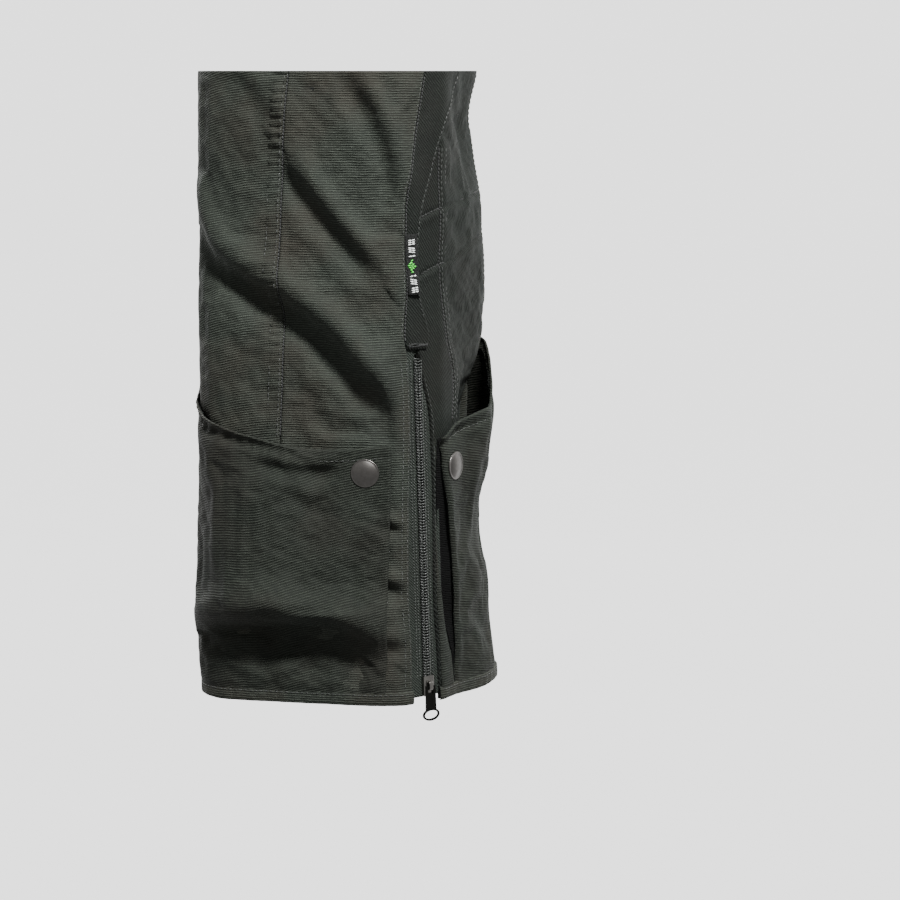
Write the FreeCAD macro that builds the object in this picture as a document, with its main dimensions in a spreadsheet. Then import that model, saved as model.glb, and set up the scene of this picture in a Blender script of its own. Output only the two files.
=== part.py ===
"""Lower leg of a pair of padded work chaps: shell, cut-protection pad, vent zip and two snap pockets.

The leg is a tube. X runs across its outer face, Y runs back through it and Z runs up.
The origin is the centre of the top opening, where the upper leg is sewn on.
"""

import FreeCAD, Part
import math
import os

V = FreeCAD.Vector
UP = V(0, 0, 1)

# Driving dimensions in millimetres and degrees. Layer depths are measured outwards from the shell's face.
SIZES = {
    # cross-section of the leg, anticlockwise from the inner-leg seam at the left
    "left_x": -91.0,
    "left_y": 41.4,
    "left_run": 30.3,
    "left_radius": 24.0,
    "left_turn": 76.0,
    "front_radius": 638.0,
    "front_turn": 9.0,
    "vent_corner_radius": 16.0,
    "vent_corner_turn": 38.0,
    "vent_run": 20.0,
    "calf_corner_radius": 14.0,
    "calf_corner_turn": 28.0,
    "calf_radius": 500.0,
    "calf_turn": 5.0,
    "side_radius": 40.0,
    "side_turn": 24.0,
    "back_radius": 42.0,
    "inner_radius": 40.0,
    # heights, measured down from the top opening
    "leg_length": 374.0,
    "vent_top": 160.0,
    "zip_top": 163.0,
    "front_mouth": 216.0,
    "rear_mouth": 210.0,
    "pocket_base": 366.0,
    "hem_depth": 21.0,
    "facing_depth": 22.0,
    "lining_top": 6.0,
    "lining_base": 368.0,
    # seams and edges, as X on the outer face
    "pad_seam_x": -39.0,
    "rear_seam_x": 57.0,
    "front_pocket_edge_x": 26.0,
    "front_pocket_flat_x": 0.0,
    "front_pocket_start": 10.0,
    "calf_pocket_inset": -5.0,
    # cloth and layers
    "cloth": 0.9,
    "layer_gap": 0.1,
    "band": 0.8,
    "lining_depth": 2.8,
    "pad_layer": 1.0,
    "pad_gap": 0.15,
    "body_gap": 0.4,
    # pockets
    "front_bulge": 15.0,
    "calf_bulge": 10.0,
    "pocket_seat": 3.5,
    "pocket_end_gap": 0.5,
    "mouth_band": 24.0,
    "band_room": 1.6,
    "band_end": 2.0,
    # zip
    "zip_tilt": 1.9,
    "zip_shift": -3.9,
    "slit_width": 13.0,
    "tape_width": 8.0,
    "tape_gap": 1.0,
    "tape_thick": 0.6,
    "tape_depth": 1.7,
    "tape_length": 220.0,
    "coil_start": 3.0,
    "coil_length": 194.0,
    "coil_pitch": 1.7,
    "coil_wire": 0.7,
    "coil_back": 2.3,
    "coil_spine": 1.3,
    "coil_tip": 0.8,
    "coil_thick": 2.2,
    # slider and puller
    "slider_top": 195.0,
    "slider_length": 12.4,
    "slider_half": 3.6,
    "slider_wall": 0.9,
    "slider_face": 1.9,
    "slider_plate": 1.0,
    "slider_back": 2.6,
    "wedge_half": 0.7,
    "wedge_length": 3.6,
    "bridge_half": 1.2,
    "bridge_top": 198.0,
    "bridge_length": 5.6,
    "bridge_wall": 0.8,
    "bridge_foot": 1.0,
    "bridge_rise": 2.4,
    "pivot_drop": 201.6,
    "puller_thick": 0.8,
    "puller_eye": 3.8,
    "puller_inner": 1.8,
    "puller_outer": 3.4,
    "ring_drop": 17.2,
    "ring_width": 11.6,
    "ring_height": 7.6,
    "ring_wall": 1.25,
    "stop_size": 1.5,
    "stop_start": 0.9,
    # press studs
    "snap_cap_radius": 8.5,
    "snap_cap_rim": 0.9,
    "snap_cap_dome": 2.6,
    "snap_ball_radius": 1.9,
    "snap_socket_radius": 6.2,
    "snap_shank_radius": 1.3,
    "snap_flange_radius": 6.5,
    "front_snap_x": 11.5,
    "front_snap_drop": 233.0,
    "rear_snap_run": 3.7,
    "rear_snap_drop": 232.0,
    "patch_half": 10.0,
    # side tab
    "tab_x": 33.5,
    "tab_width": 9.5,
    "tab_top": 94.0,
    "tab_length": 34.0,
    "tab_thick": 0.5,
}

doc = FreeCAD.newDocument("chaps_lower_leg")
sheet = doc.addObject("Spreadsheet::Sheet", "Sizes")


def fill_sheet():
    """Writes each size on a row of its own: its name, then the number under an alias."""
    for row, (name, value) in enumerate(SIZES.items(), start=1):
        sheet.set(f"A{row}", name)
        sheet.set(f"B{row}", str(value))
        sheet.setAlias(f"B{row}", name)
    doc.recompute()


fill_sheet()


def size(name):
    """A driving dimension, read back from the sheet."""
    return float(sheet.get(name))


class Outline:
    """The leg's cross-section as a chain of tangent lines and arcs, walked by distance along the face."""

    def __init__(self):
        self.parts = []
        self.length = 0.0
        self.point = V(size("left_x"), size("left_y"), 0)
        self.heading = -90.0
        self.marks = {}
        self.run("left_run")
        self.turn("left")
        self.turn("front")
        self.turn("vent_corner")
        self.marks["vent_middle"] = self.length + size("vent_run") / 2
        self.run("vent_run")
        self.turn("calf_corner")
        self.marks["calf_pocket"] = self.length
        self.turn("calf")
        self.turn("side")
        self.marks["vent_hinge"] = self.length
        self.add(math.radians(90.0) * size("back_radius"), size("back_radius"))
        self.add(self.point.x - size("left_x") - size("inner_radius"), None)
        self.add(math.radians(90.0) * size("inner_radius"), size("inner_radius"))
        self.add(self.point.y - size("left_y"), None)

    def add(self, length, radius):
        """Adds a stretch: straight where radius is None, else turning left at that radius."""
        self.parts.append((self.length, length, radius, self.point, self.heading))
        self.length += length
        self.point, self.heading = self.step(self.parts[-1], length)

    def run(self, name):
        self.add(size(name), None)

    def turn(self, name):
        radius = size(name + "_radius")
        self.add(math.radians(size(name + "_turn")) * radius, radius)

    @staticmethod
    def normal(heading):
        """Outward, to the right of the way round."""
        angle = math.radians(heading)
        return V(math.sin(angle), -math.cos(angle), 0)

    def step(self, part, distance):
        """Point and heading at a distance into one stretch."""
        _, _, radius, start, heading = part
        if radius is None:
            angle = math.radians(heading)
            return start + V(math.cos(angle), math.sin(angle), 0) * distance, heading
        centre = start - self.normal(heading) * radius
        turned = heading + math.degrees(distance / radius)
        return centre + self.normal(turned) * radius, turned

    def place(self, along):
        """Point, outward normal and heading at a distance round the face."""
        for part in self.parts:
            if along <= part[0] + part[1] + 1e-9:
                point, heading = self.step(part, along - part[0])
                return point, self.normal(heading), heading
        raise ValueError("past the end of the outline")

    def at(self, along, out=0.0):
        point, normal, _ = self.place(along)
        return point + normal * out

    def station(self, x):
        """Distance round the face at which the outer side reaches an X."""
        low = 0.0
        high = self.marks["vent_hinge"]
        for _ in range(60):
            middle = (low + high) / 2
            low, high = (middle, high) if self.at(middle).x < x else (low, middle)
        return low

    def edges(self, start, end, out):
        """The outline from start to end, moved out, as lines and arcs."""
        made = []
        for part in self.parts:
            first = max(start, part[0])
            last = min(end, part[0] + part[1])
            if last - first < 1e-6:
                continue
            a = self.at_part(part, first, out)
            b = self.at_part(part, last, out)
            if part[2] is None:
                made.append(Part.LineSegment(a, b))
            else:
                made.append(Part.Arc(a, self.at_part(part, (first + last) / 2, out), b))
        return made

    def at_part(self, part, along, out):
        point, heading = self.step(part, along - part[0])
        return point + self.normal(heading) * out


outline = Outline()
VENT = outline.marks["vent_middle"]
HINGE = outline.marks["vent_hinge"]
END = outline.length


def plane(body, role):
    """One of a body's own origin planes."""
    return next(f for f in body.Origin.OriginFeatures if f.Role == role)


def new_body(label):
    body = doc.addObject("PartDesign::Body", label)
    body.Label = label
    return body


def new_sketch(body, name, role="XY_Plane", offset=None):
    """A sketch on one of the body's origin planes, raised by an expression."""
    sketch = body.newObject("Sketcher::SketchObject", f"{body.Name}_{name}")
    sketch.AttachmentSupport = (plane(body, role), [""])
    sketch.MapMode = "FlatFace"
    if offset:
        sketch.setExpression(".AttachmentOffset.Base.z", offset)
    return sketch


def new_pad(body, sketch, length):
    pad = body.newObject("PartDesign::Pad", f"{sketch.Name}_pad")
    pad.Profile = sketch
    pad.setExpression("Length", length)
    body.Tip = pad
    return pad


def closed(points):
    """Straight lines joining points into a loop."""
    return [Part.LineSegment(points[i - 1], points[i]) for i in range(len(points))]


def strip(start, end, outer, inner):
    """Closed outline of a wall that follows the leg between two depths."""
    return (
        outline.edges(start, end, outer)
        + outline.edges(start, end, inner)
        + [
            Part.LineSegment(outline.at(start, outer), outline.at(start, inner)),
            Part.LineSegment(outline.at(end, outer), outline.at(end, inner)),
        ]
    )


def wall(label, profile, top, base):
    """A profile padded between two drops below the top opening, both given as expressions."""
    body = new_body(label)
    sketch = new_sketch(body, "profile", offset=f"-({base})")
    sketch.addGeometry(profile, False)
    new_pad(body, sketch, f"({base}) - ({top})")
    return body


def ring_wall(label, outer, inner, top, base):
    """A band right round the leg."""
    profile = outline.edges(0, END, outer) + outline.edges(0, END, inner)
    return wall(label, profile, top, base)


CLOTH = size("cloth")
BAND_OUT = -CLOTH - size("layer_gap")
BAND_IN = BAND_OUT - size("band")
LINING_OUT = -size("lining_depth")
LINING_IN = LINING_OUT - size("band")
PAD_SEAM = outline.station(size("pad_seam_x"))
REAR_SEAM = outline.station(size("rear_seam_x"))
GAP = size("body_gap")
SEAM_GAP = 0.05
VENT_SEAM = VENT - 2.0
BESIDE_TAPE = size("tape_width") + 5.0


def shell_panels():
    """The outer cloth, one wall for each cut panel."""
    wall("front_panel", strip(0, PAD_SEAM - SEAM_GAP, 0, -CLOTH), "0", "Sizes.leg_length")
    wall("side_strip", strip(VENT_SEAM + SEAM_GAP, REAR_SEAM - SEAM_GAP, 0, -CLOTH), "0", "Sizes.vent_top")
    wall("calf_panel_upper", strip(REAR_SEAM, HINGE, 0, -CLOTH), "0", "Sizes.vent_top")
    wall("inner_leg_panel", strip(HINGE + SEAM_GAP, END, 0, -CLOTH), "0", "Sizes.leg_length")


def zip_frame(x=0.0, y=0.0, z=0.0):
    """Placement in the zip's own frame: X across it, Y into the leg and Z up along it."""
    point, _, heading = outline.place(VENT)
    along = V(math.cos(math.radians(heading)), math.sin(math.radians(heading)), 0)
    origin = point + along * size("zip_shift") - UP * size("zip_top")
    turn = FreeCAD.Rotation(UP, heading).multiply(FreeCAD.Rotation(V(0, 1, 0), -size("zip_tilt")))
    return FreeCAD.Placement(origin, turn).multiply(FreeCAD.Placement(V(x, y, z), FreeCAD.Rotation()))


def slit_tool(label):
    """The opening that the zip fills, as a block to cut from a panel."""
    half_depth = 6.0
    tool = doc.addObject("Part::Box", label + "_slit")
    tool.setExpression("Length", "Sizes.slit_width")
    tool.setExpression("Height", "Sizes.leg_length")
    tool.Width = 2 * half_depth
    rise = size("zip_top") - size("vent_top") - 1.0
    tool.Placement = zip_frame(-size("slit_width") / 2, -half_depth, rise - size("leg_length"))
    return tool


def slit_panel(label, profile, top, base):
    """A shell panel with the zip's opening cut from its edge."""
    cut = doc.addObject("Part::Cut", label)
    cut.Base = wall(label + "_blank", profile, top, base)
    cut.Tool = slit_tool(label)
    cut.Label = label
    return cut


def vent_panels():
    """The two panels that the zip parts."""
    front = strip(PAD_SEAM, VENT_SEAM, 0, -CLOTH)
    slit_panel("outer_side_panel", front, "0", "Sizes.leg_length")
    rear = strip(VENT, HINGE - GAP, 0, -CLOTH)
    slit_panel("calf_panel_lower", rear, "Sizes.vent_top + Sizes.body_gap", "Sizes.leg_length")


def inner_layers():
    """Facings, linings and the pad, all inside the shell."""
    hem_top = "Sizes.leg_length - Sizes.hem_depth"
    hem_base = "Sizes.leg_length - Sizes.body_gap"
    ring_wall("top_facing", BAND_OUT, BAND_IN, "0", "Sizes.facing_depth")
    wall("hem_facing_front", strip(0, VENT - BESIDE_TAPE, BAND_OUT, BAND_IN), hem_top, hem_base)
    wall("hem_facing_calf", strip(VENT + BESIDE_TAPE, HINGE - GAP, BAND_OUT, BAND_IN), hem_top, hem_base)
    wall("hem_facing_back", strip(HINGE + GAP, END, BAND_OUT, BAND_IN), hem_top, hem_base)

    top = "Sizes.lining_top"
    base = "Sizes.lining_base"
    split = "Sizes.vent_top"
    wall("side_lining", strip(PAD_SEAM + GAP, VENT - BESIDE_TAPE, LINING_OUT, LINING_IN), top, base)
    wall("vent_lining", strip(VENT - BESIDE_TAPE + GAP, HINGE - GAP, LINING_OUT, LINING_IN), top, split)
    lower = strip(VENT + BESIDE_TAPE, HINGE - GAP, LINING_OUT, LINING_IN)
    wall("calf_lining_lower", lower, split + " + Sizes.body_gap", base)
    wall("back_lining", strip(HINGE + GAP, END - GAP, LINING_OUT, LINING_IN), top, base)


def protection_pad():
    """Loose cut-protection layers behind the front panel, and the lining that bags them."""
    pitch = size("pad_layer") + size("pad_gap")
    layers = 4
    for index in range(layers):
        outer = LINING_OUT - index * pitch
        profile = strip(2 * GAP, PAD_SEAM - 2 * GAP, outer, outer - size("pad_layer"))
        wall(f"cut_pad_layer_{index + 1}", profile, "Sizes.lining_top + 4", "Sizes.lining_base - 4")
    outer = LINING_OUT - layers * pitch
    lining = strip(GAP, PAD_SEAM, outer, outer - size("band"))
    wall("pad_lining", lining, "Sizes.lining_top", "Sizes.lining_base")


def smooth_bulge(u):
    """0 at both ends and 1 in the middle, level at each."""
    return math.sin(math.pi * u) ** 2


def front_pocket_gap(along, start, flat):
    """Gap behind the front pocket: thin at its left end, full in the middle, level at the stud."""
    u = min((along - start) / (flat - start), 1.0)
    ends = size("pocket_end_gap") * (1 - u) + size("pocket_seat") * u
    return ends + size("front_bulge") * smooth_bulge(max(u - 0.15, 0.0) / 0.85)


def calf_pocket_gap(along, start, end):
    """Gap behind the calf pocket: level at the stud, full behind it, thin at the back."""
    level = 15.0
    u = max((along - start - level) / (end - start - level), 0.0)
    ends = size("pocket_seat") * (1 - u) + size("pocket_end_gap") * u
    return ends + size("calf_bulge") * smooth_bulge(u)


def evenly(start, end, steps=30):
    """Evenly spaced values from start to end."""
    return [start + (end - start) * index / steps for index in range(steps + 1)]


def pocket_profile(start, end, gap, inner, outer):
    """A wall that stands off the leg by a gap that changes along it."""
    stops = evenly(start, end, 75)
    near = [outline.at(s, gap(s) + inner) for s in stops]
    far = [outline.at(s, gap(s) + outer) for s in stops]
    return closed(near + far[::-1])


def pocket(name, start, end, gap, mouth):
    """A patch pocket: panel, turned-in mouth band, side fold and bottom."""
    inset = size("band") + size("layer_gap")
    wall(name + "_panel", pocket_profile(start, end, gap, 0, CLOTH), mouth, "Sizes.pocket_base")
    spare = size("band_end")
    roomy = [s for s in evenly(start + spare, end - spare, 120) if gap(s) > size("band_room")]
    band = pocket_profile(roomy[0], roomy[-1], gap, -inset, -size("layer_gap"))
    wall(name + "_mouth_band", band, f"{mouth} + Sizes.layer_gap", f"{mouth} + Sizes.mouth_band")


def pocket_floor(name, start, end, gap):
    """The turned seam that closes a pocket along its base."""
    inset = 1.0
    stops = evenly(start + inset, end - inset)
    near = [outline.at(s, size("body_gap")) for s in stops]
    far = [outline.at(s, gap(s) - size("layer_gap")) for s in stops]
    wall(name + "_floor", closed(near + far[::-1]), "Sizes.pocket_base - Sizes.band", "Sizes.pocket_base")


def pocket_fold(name, along, gap, side, mouth):
    """The folded edge beside the stud, which fills the step down to the leg."""
    near = outline.at(along, size("body_gap"))
    near_2 = outline.at(along + side * size("band"), size("body_gap"))
    far = outline.at(along, gap(along) - size("layer_gap"))
    far_2 = outline.at(along + side * size("band"), gap(along) - size("layer_gap"))
    profile = closed([near, near_2, far_2, far])
    wall(name + "_fold", profile, f"{mouth} + 1", "Sizes.pocket_base - Sizes.band - Sizes.layer_gap")


def pockets():
    front_start = size("front_pocket_start")
    front_flat = outline.station(size("front_pocket_flat_x"))
    front_end = outline.station(size("front_pocket_edge_x"))

    def front_gap(along):
        return front_pocket_gap(along, front_start, front_flat)

    pocket("front_pocket", front_start, front_end, front_gap, "Sizes.front_mouth")
    pocket_floor("front_pocket", front_start + 12, front_end - 2, front_gap)
    pocket_fold("front_pocket", front_end - 0.1, front_gap, -1, "Sizes.front_mouth")

    rear_start = outline.marks["calf_pocket"] + size("calf_pocket_inset")
    rear_end = HINGE - 2.0

    def rear_gap(along):
        return calf_pocket_gap(along, rear_start, rear_end)

    pocket("rear_pocket", rear_start, rear_end, rear_gap, "Sizes.rear_mouth")
    pocket_floor("rear_pocket", rear_start + 2, rear_end - 4, rear_gap)
    pocket_fold("rear_pocket", rear_start + 0.1, rear_gap, 1, "Sizes.rear_mouth")


def revolved(label, points, placement):
    """A turned piece: (radius, height) points round the Z axis, then set in place."""
    body = new_body(label)
    sketch = new_sketch(body, "section", "XZ_Plane")
    sketch.addGeometry(closed([V(r, z, 0) for r, z in points]), False)
    turned = body.newObject("PartDesign::Revolution", label + "_turned")
    turned.Profile = sketch
    turned.ReferenceAxis = (sketch, ["V_Axis"])
    turned.Angle = 360.0
    body.Tip = turned
    body.Placement = placement
    return body


def snap(name, along, drop):
    """A press stud: cap and socket through the pocket, stud and post through the leg."""
    point, normal, _ = outline.place(along)
    place = FreeCAD.Placement(point - UP * size(drop), FreeCAD.Rotation(UP, normal))
    cloth_out = size("pocket_seat") + CLOTH
    seat = cloth_out + 0.05
    rim = size("snap_cap_rim")
    dome = size("snap_cap_dome")
    cap = size("snap_cap_radius")
    shank = size("snap_shank_radius")
    ball = size("snap_ball_radius")
    socket = size("snap_socket_radius")
    flange = size("snap_flange_radius")
    socket_top = size("pocket_seat") - size("band") - size("layer_gap") - 0.1
    socket_base = 0.85
    stud_base = 0.05

    def dome_point(angle):
        turn = math.radians(angle)
        return (cap - rim * 0.3) * math.sin(turn), seat + rim + (dome - rim) * math.cos(turn)

    cap_points = [(0, socket_top + 0.05), (shank, socket_top + 0.05), (shank, seat)]
    cap_points += [(cap - rim * 0.5, seat), (cap, seat + rim * 0.5), (cap - rim * 0.3, seat + rim)]
    cap_points += [dome_point(angle) for angle in (75, 60, 45, 30, 15)]
    cap_points.append((0, seat + dome))
    revolved(name + "_snap_cap", cap_points, place)

    clearance = 0.15
    socket_points = [(ball + clearance, socket_base), (socket - 0.4, socket_base)]
    socket_points += [(socket, socket_base + 0.4), (socket, socket_top - 0.4)]
    socket_points += [(socket - 0.6, socket_top), (0, socket_top)]
    socket_points += [(0, socket_top - 0.25), (ball + clearance, socket_top - 0.25)]
    revolved(name + "_snap_socket", socket_points, place)

    ball_top = socket_top - 0.4
    stud_points = [(0, stud_base), (flange - 0.6, stud_base), (flange - 0.8, 0.6), (ball - 0.4, 0.65)]
    stud_points += [(ball - 0.5, 1.0), (ball, 1.4), (ball, 1.7), (ball - 0.5, ball_top), (0, ball_top)]
    revolved(name + "_snap_stud", stud_points, place)

    patch_back = BAND_IN - 0.05
    post_points = [(0, stud_base - 0.05), (shank, stud_base - 0.05), (shank, patch_back)]
    post_points += [(flange, patch_back), (flange, patch_back - 0.5), (0, patch_back - 0.5)]
    revolved(name + "_snap_post", post_points, place)

    half = size("patch_half")
    patch = strip(along - half, along + half, BAND_OUT, BAND_IN)
    patch_top = f"Sizes.{drop} - Sizes.patch_half"
    wall(name + "_snap_patch", patch, patch_top, f"Sizes.{drop} + Sizes.patch_half")


def zip_box(label, x, y, z, length, width, height):
    """A block in the zip's frame, its sizes bound to the sheet."""
    box = doc.addObject("Part::Box", label)
    box.Label = label
    box.setExpression("Length", length)
    box.setExpression("Width", width)
    box.setExpression("Height", height)
    box.Placement = zip_frame(x, y, z)
    return box


def coil_comb(side):
    """Half of the coil as a spine with one tooth for each turn. side is -1 at the front, 1 at the rear."""
    pitch = size("coil_pitch")
    wire = size("coil_wire")
    back = -size("coil_back") * -side
    spine = back - side * size("coil_spine")
    tip = -side * size("coil_tip")
    top = -size("coil_start")
    base = top - size("coil_length")
    offset = 0.0 if side < 0 else pitch / 2
    points = [V(back, top, 0), V(spine, top, 0)]
    level = top - 0.5 - offset
    while level - wire > base + 0.3:
        points += [V(spine, level, 0), V(tip, level, 0), V(tip, level - wire, 0), V(spine, level - wire, 0)]
        level -= pitch
    return points + [V(spine, base, 0), V(back, base, 0)]


def zip_parts():
    """Tapes, coil halves and stops."""
    depth = size("tape_depth")
    width = size("tape_width")
    gap = size("tape_gap")
    overrun = 12.0
    length = size("tape_length")
    stop = size("stop_size")
    inset = size("stop_start")
    sides = {"front": -1, "rear": 1}
    for name, side in sides.items():
        x = gap if side > 0 else -gap - width
        sides_of_tape = ("Sizes.tape_width", "Sizes.tape_thick", "Sizes.tape_length")
        zip_box(f"zip_tape_{name}", x, depth, overrun - length, *sides_of_tape)

        body = new_body(f"zip_coil_{name}")
        sketch = new_sketch(body, "comb", "XZ_Plane", "-(Sizes.tape_depth - 0.05)")
        sketch.addGeometry(closed(coil_comb(side)), False)
        new_pad(body, sketch, "Sizes.coil_thick")
        body.Placement = zip_frame()

        x = inset if side > 0 else -inset - stop
        z = -size("coil_start") - size("coil_length") - 0.4 - stop
        zip_box(f"zip_end_stop_{name}", x, depth - 0.05 - stop, z, *["Sizes.stop_size"] * 3)
    zip_box("zip_top_stop", -1.5, -0.3, -2.6, "3", "Sizes.tape_depth + 0.2", "1.8")


def block(body, name, low, high, axis_end):
    """Adds a block between two corners of the zip's frame to a body, padded along Z."""
    sketch = new_sketch(body, name, offset=f"-({axis_end})")
    corners = [V(low[0], low[1], 0), V(high[0], low[1], 0), V(high[0], high[1], 0), V(low[0], high[1], 0)]
    sketch.addGeometry(closed(corners), False)
    return sketch


def slider():
    """The zip slider: two plates joined by the wedge, and the bridge that holds the puller."""
    half = size("slider_half")
    lip = size("slider_wall")
    face = -size("slider_face")
    under = face + size("slider_plate")
    flange = 0.9
    back = size("slider_back")
    plate = size("slider_plate")
    base = "Sizes.slider_top + Sizes.slider_length"

    body = new_body("slider_body")
    crown = new_sketch(body, "crown", offset=f"-({base})")
    crown_points = [(-half, face + 0.5), (-half + 0.5, face), (half - 0.5, face), (half, face + 0.5)]
    crown_points += [(half, flange), (half - lip, flange), (half - lip, under), (-half + lip, under)]
    crown_points += [(-half + lip, flange), (-half, flange)]
    crown.addGeometry(closed([V(x, y, 0) for x, y in crown_points]), False)
    new_pad(body, crown, "Sizes.slider_length")

    wedge_half = size("wedge_half")
    wedge = block(body, "wedge", (-wedge_half, under - 0.3), (wedge_half, back + 0.3), base)
    new_pad(body, wedge, "Sizes.wedge_length")

    back_plate = block(body, "back", (-half, back), (half, back + plate), base)
    new_pad(body, back_plate, "Sizes.slider_length")

    bridge = new_sketch(body, "bridge", "YZ_Plane")
    bridge_top = -size("bridge_top")
    bridge_base = bridge_top - size("bridge_length")
    rise = face - size("bridge_rise")
    foot = size("bridge_foot")
    inner = rise + size("bridge_wall")
    loop = [(face + 0.3, bridge_top), (inner, bridge_top), (rise, bridge_top - foot)]
    loop += [(rise, bridge_base + foot), (inner, bridge_base), (face + 0.3, bridge_base)]
    loop.append((face + 0.3, bridge_base + foot))
    loop += [(inner, bridge_base + foot), (inner, bridge_top - foot), (face + 0.3, bridge_top - foot)]
    bridge.addGeometry(closed([V(y, z, 0) for y, z in loop]), False)
    arch = new_pad(body, bridge, "2 * Sizes.bridge_half")
    arch.Midplane = True
    body.Placement = zip_frame()


def arc_points(centre, half_width, half_height, first, last, steps):
    """Points of an ellipse between two angles in degrees."""
    made = []
    for index in range(steps + 1):
        angle = math.radians(first + (last - first) * index / steps)
        made.append(V(half_width * math.cos(angle), centre + half_height * math.sin(angle), 0))
    return made


def puller():
    """The pull tab, hanging from the bridge: eye, neck and oval ring."""
    thick = size("puller_thick")
    outer = size("puller_outer")
    inner = size("puller_inner")
    half_bar = thick / 2
    pivot = -size("pivot_drop")
    eye_base = pivot - half_bar - size("puller_eye")
    centre = pivot - size("ring_drop")
    ring_x = size("ring_width") / 2
    ring_z = size("ring_height") / 2
    wall_ring = size("ring_wall")
    pivot_depth = -size("slider_face") - (size("bridge_rise") - size("bridge_wall")) / 2

    body = new_body("zip_puller")
    sketch = new_sketch(body, "plate", "XZ_Plane", f"{-pivot_depth} - Sizes.puller_thick / 2")
    edge = [V(-inner, eye_base, 0), V(-inner, pivot + half_bar, 0), V(-outer, pivot + half_bar, 0)]
    edge += arc_points(centre, ring_x, ring_z, 130, 410, 36)
    edge += [V(outer, pivot + half_bar, 0), V(inner, pivot + half_bar, 0), V(inner, eye_base, 0)]
    sketch.addGeometry(closed(edge), False)
    hole = Part.Ellipse(V(0, centre, 0), ring_x - wall_ring, ring_z - wall_ring)
    sketch.addGeometry(hole, False)
    new_pad(body, sketch, "Sizes.puller_thick")

    bar = new_sketch(body, "bar", "YZ_Plane")
    bar.addGeometry(Part.Circle(V(pivot_depth, pivot, 0), UP, half_bar), False)
    pin = new_pad(body, bar, "Sizes.puller_outer + Sizes.puller_inner")
    pin.Midplane = True
    body.Placement = zip_frame()


def trim():
    """The blank side tab and the bar tacks."""
    tab_start = outline.station(size("tab_x"))
    tab = strip(tab_start, tab_start + size("tab_width"), 0.1 + size("tab_thick"), 0.1)
    wall("side_tab", tab, "Sizes.tab_top", "Sizes.tab_top + Sizes.tab_length")
    wall("vent_bar_tack", strip(VENT - 8, VENT + 1, 0.5, 0.05), "Sizes.vent_top - 4", "Sizes.vent_top - 2")


def write_parts():
    """Writes every piece that nothing else is built from, once all of them are sound."""
    doc.recompute()
    kinds = ("PartDesign::Body", "Part::Box", "Part::Cut")
    cuts = [piece for piece in doc.Objects if piece.TypeId == "Part::Cut"]
    used = {child.Name for cut in cuts for child in (cut.Base, cut.Tool)}
    for piece in doc.Objects:
        if "Invalid" in piece.State or "Error" in piece.State:
            raise RuntimeError(f"{piece.Label} failed")
    pieces = [p for p in doc.Objects if p.TypeId in kinds and p.Name not in used]
    for piece in pieces:
        if piece.Shape.isNull() or not piece.Shape.isValid():
            raise RuntimeError(f"{piece.Label} has no sound shape")
    os.makedirs("parts", exist_ok=True)
    for piece in pieces:
        piece.Shape.exportStep(f"parts/{piece.Label}.step")
        print(piece.Label, len(piece.Shape.Solids), round(piece.Shape.Volume, 1))


shell_panels()
vent_panels()
inner_layers()
protection_pad()
pockets()
snap("front", outline.station(size("front_snap_x")), "front_snap_drop")
snap("rear", outline.marks["calf_pocket"] + size("rear_snap_run"), "rear_snap_drop")
zip_parts()
slider()
puller()
trim()
write_parts()
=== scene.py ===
"""Looks of a padded work-chaps lower leg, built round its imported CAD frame.

Places on the leg are given as s, the distance round the outer face in millimetres from the inner-leg seam,
and d, the drop below the top opening in millimetres. Heights off the face are millimetres outwards.
"""

import math

import bmesh
import bpy
import numpy as np
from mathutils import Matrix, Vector


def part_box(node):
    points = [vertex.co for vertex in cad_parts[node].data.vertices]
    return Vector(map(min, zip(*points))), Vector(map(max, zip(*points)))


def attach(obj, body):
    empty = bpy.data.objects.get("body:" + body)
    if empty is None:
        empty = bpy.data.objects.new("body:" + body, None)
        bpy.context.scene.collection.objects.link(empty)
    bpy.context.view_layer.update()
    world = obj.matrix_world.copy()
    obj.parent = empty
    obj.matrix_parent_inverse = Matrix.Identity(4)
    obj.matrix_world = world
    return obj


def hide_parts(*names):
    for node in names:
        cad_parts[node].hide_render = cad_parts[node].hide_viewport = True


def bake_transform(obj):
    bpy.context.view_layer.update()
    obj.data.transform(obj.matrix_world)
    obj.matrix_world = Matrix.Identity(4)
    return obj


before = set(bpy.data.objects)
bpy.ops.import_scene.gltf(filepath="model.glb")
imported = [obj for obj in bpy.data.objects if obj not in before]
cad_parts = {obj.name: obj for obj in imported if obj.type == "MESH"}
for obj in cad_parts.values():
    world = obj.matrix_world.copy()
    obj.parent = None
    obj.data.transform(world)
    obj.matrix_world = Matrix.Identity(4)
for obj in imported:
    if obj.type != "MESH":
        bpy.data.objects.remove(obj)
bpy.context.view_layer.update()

MM = 0.001
LEG = 374.0
CLOTH = 0.9
VENT_TOP = 160.0
HEM = 367.0
HEM_STITCH = HEM + 0.8


# --- shape of the leg


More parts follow.
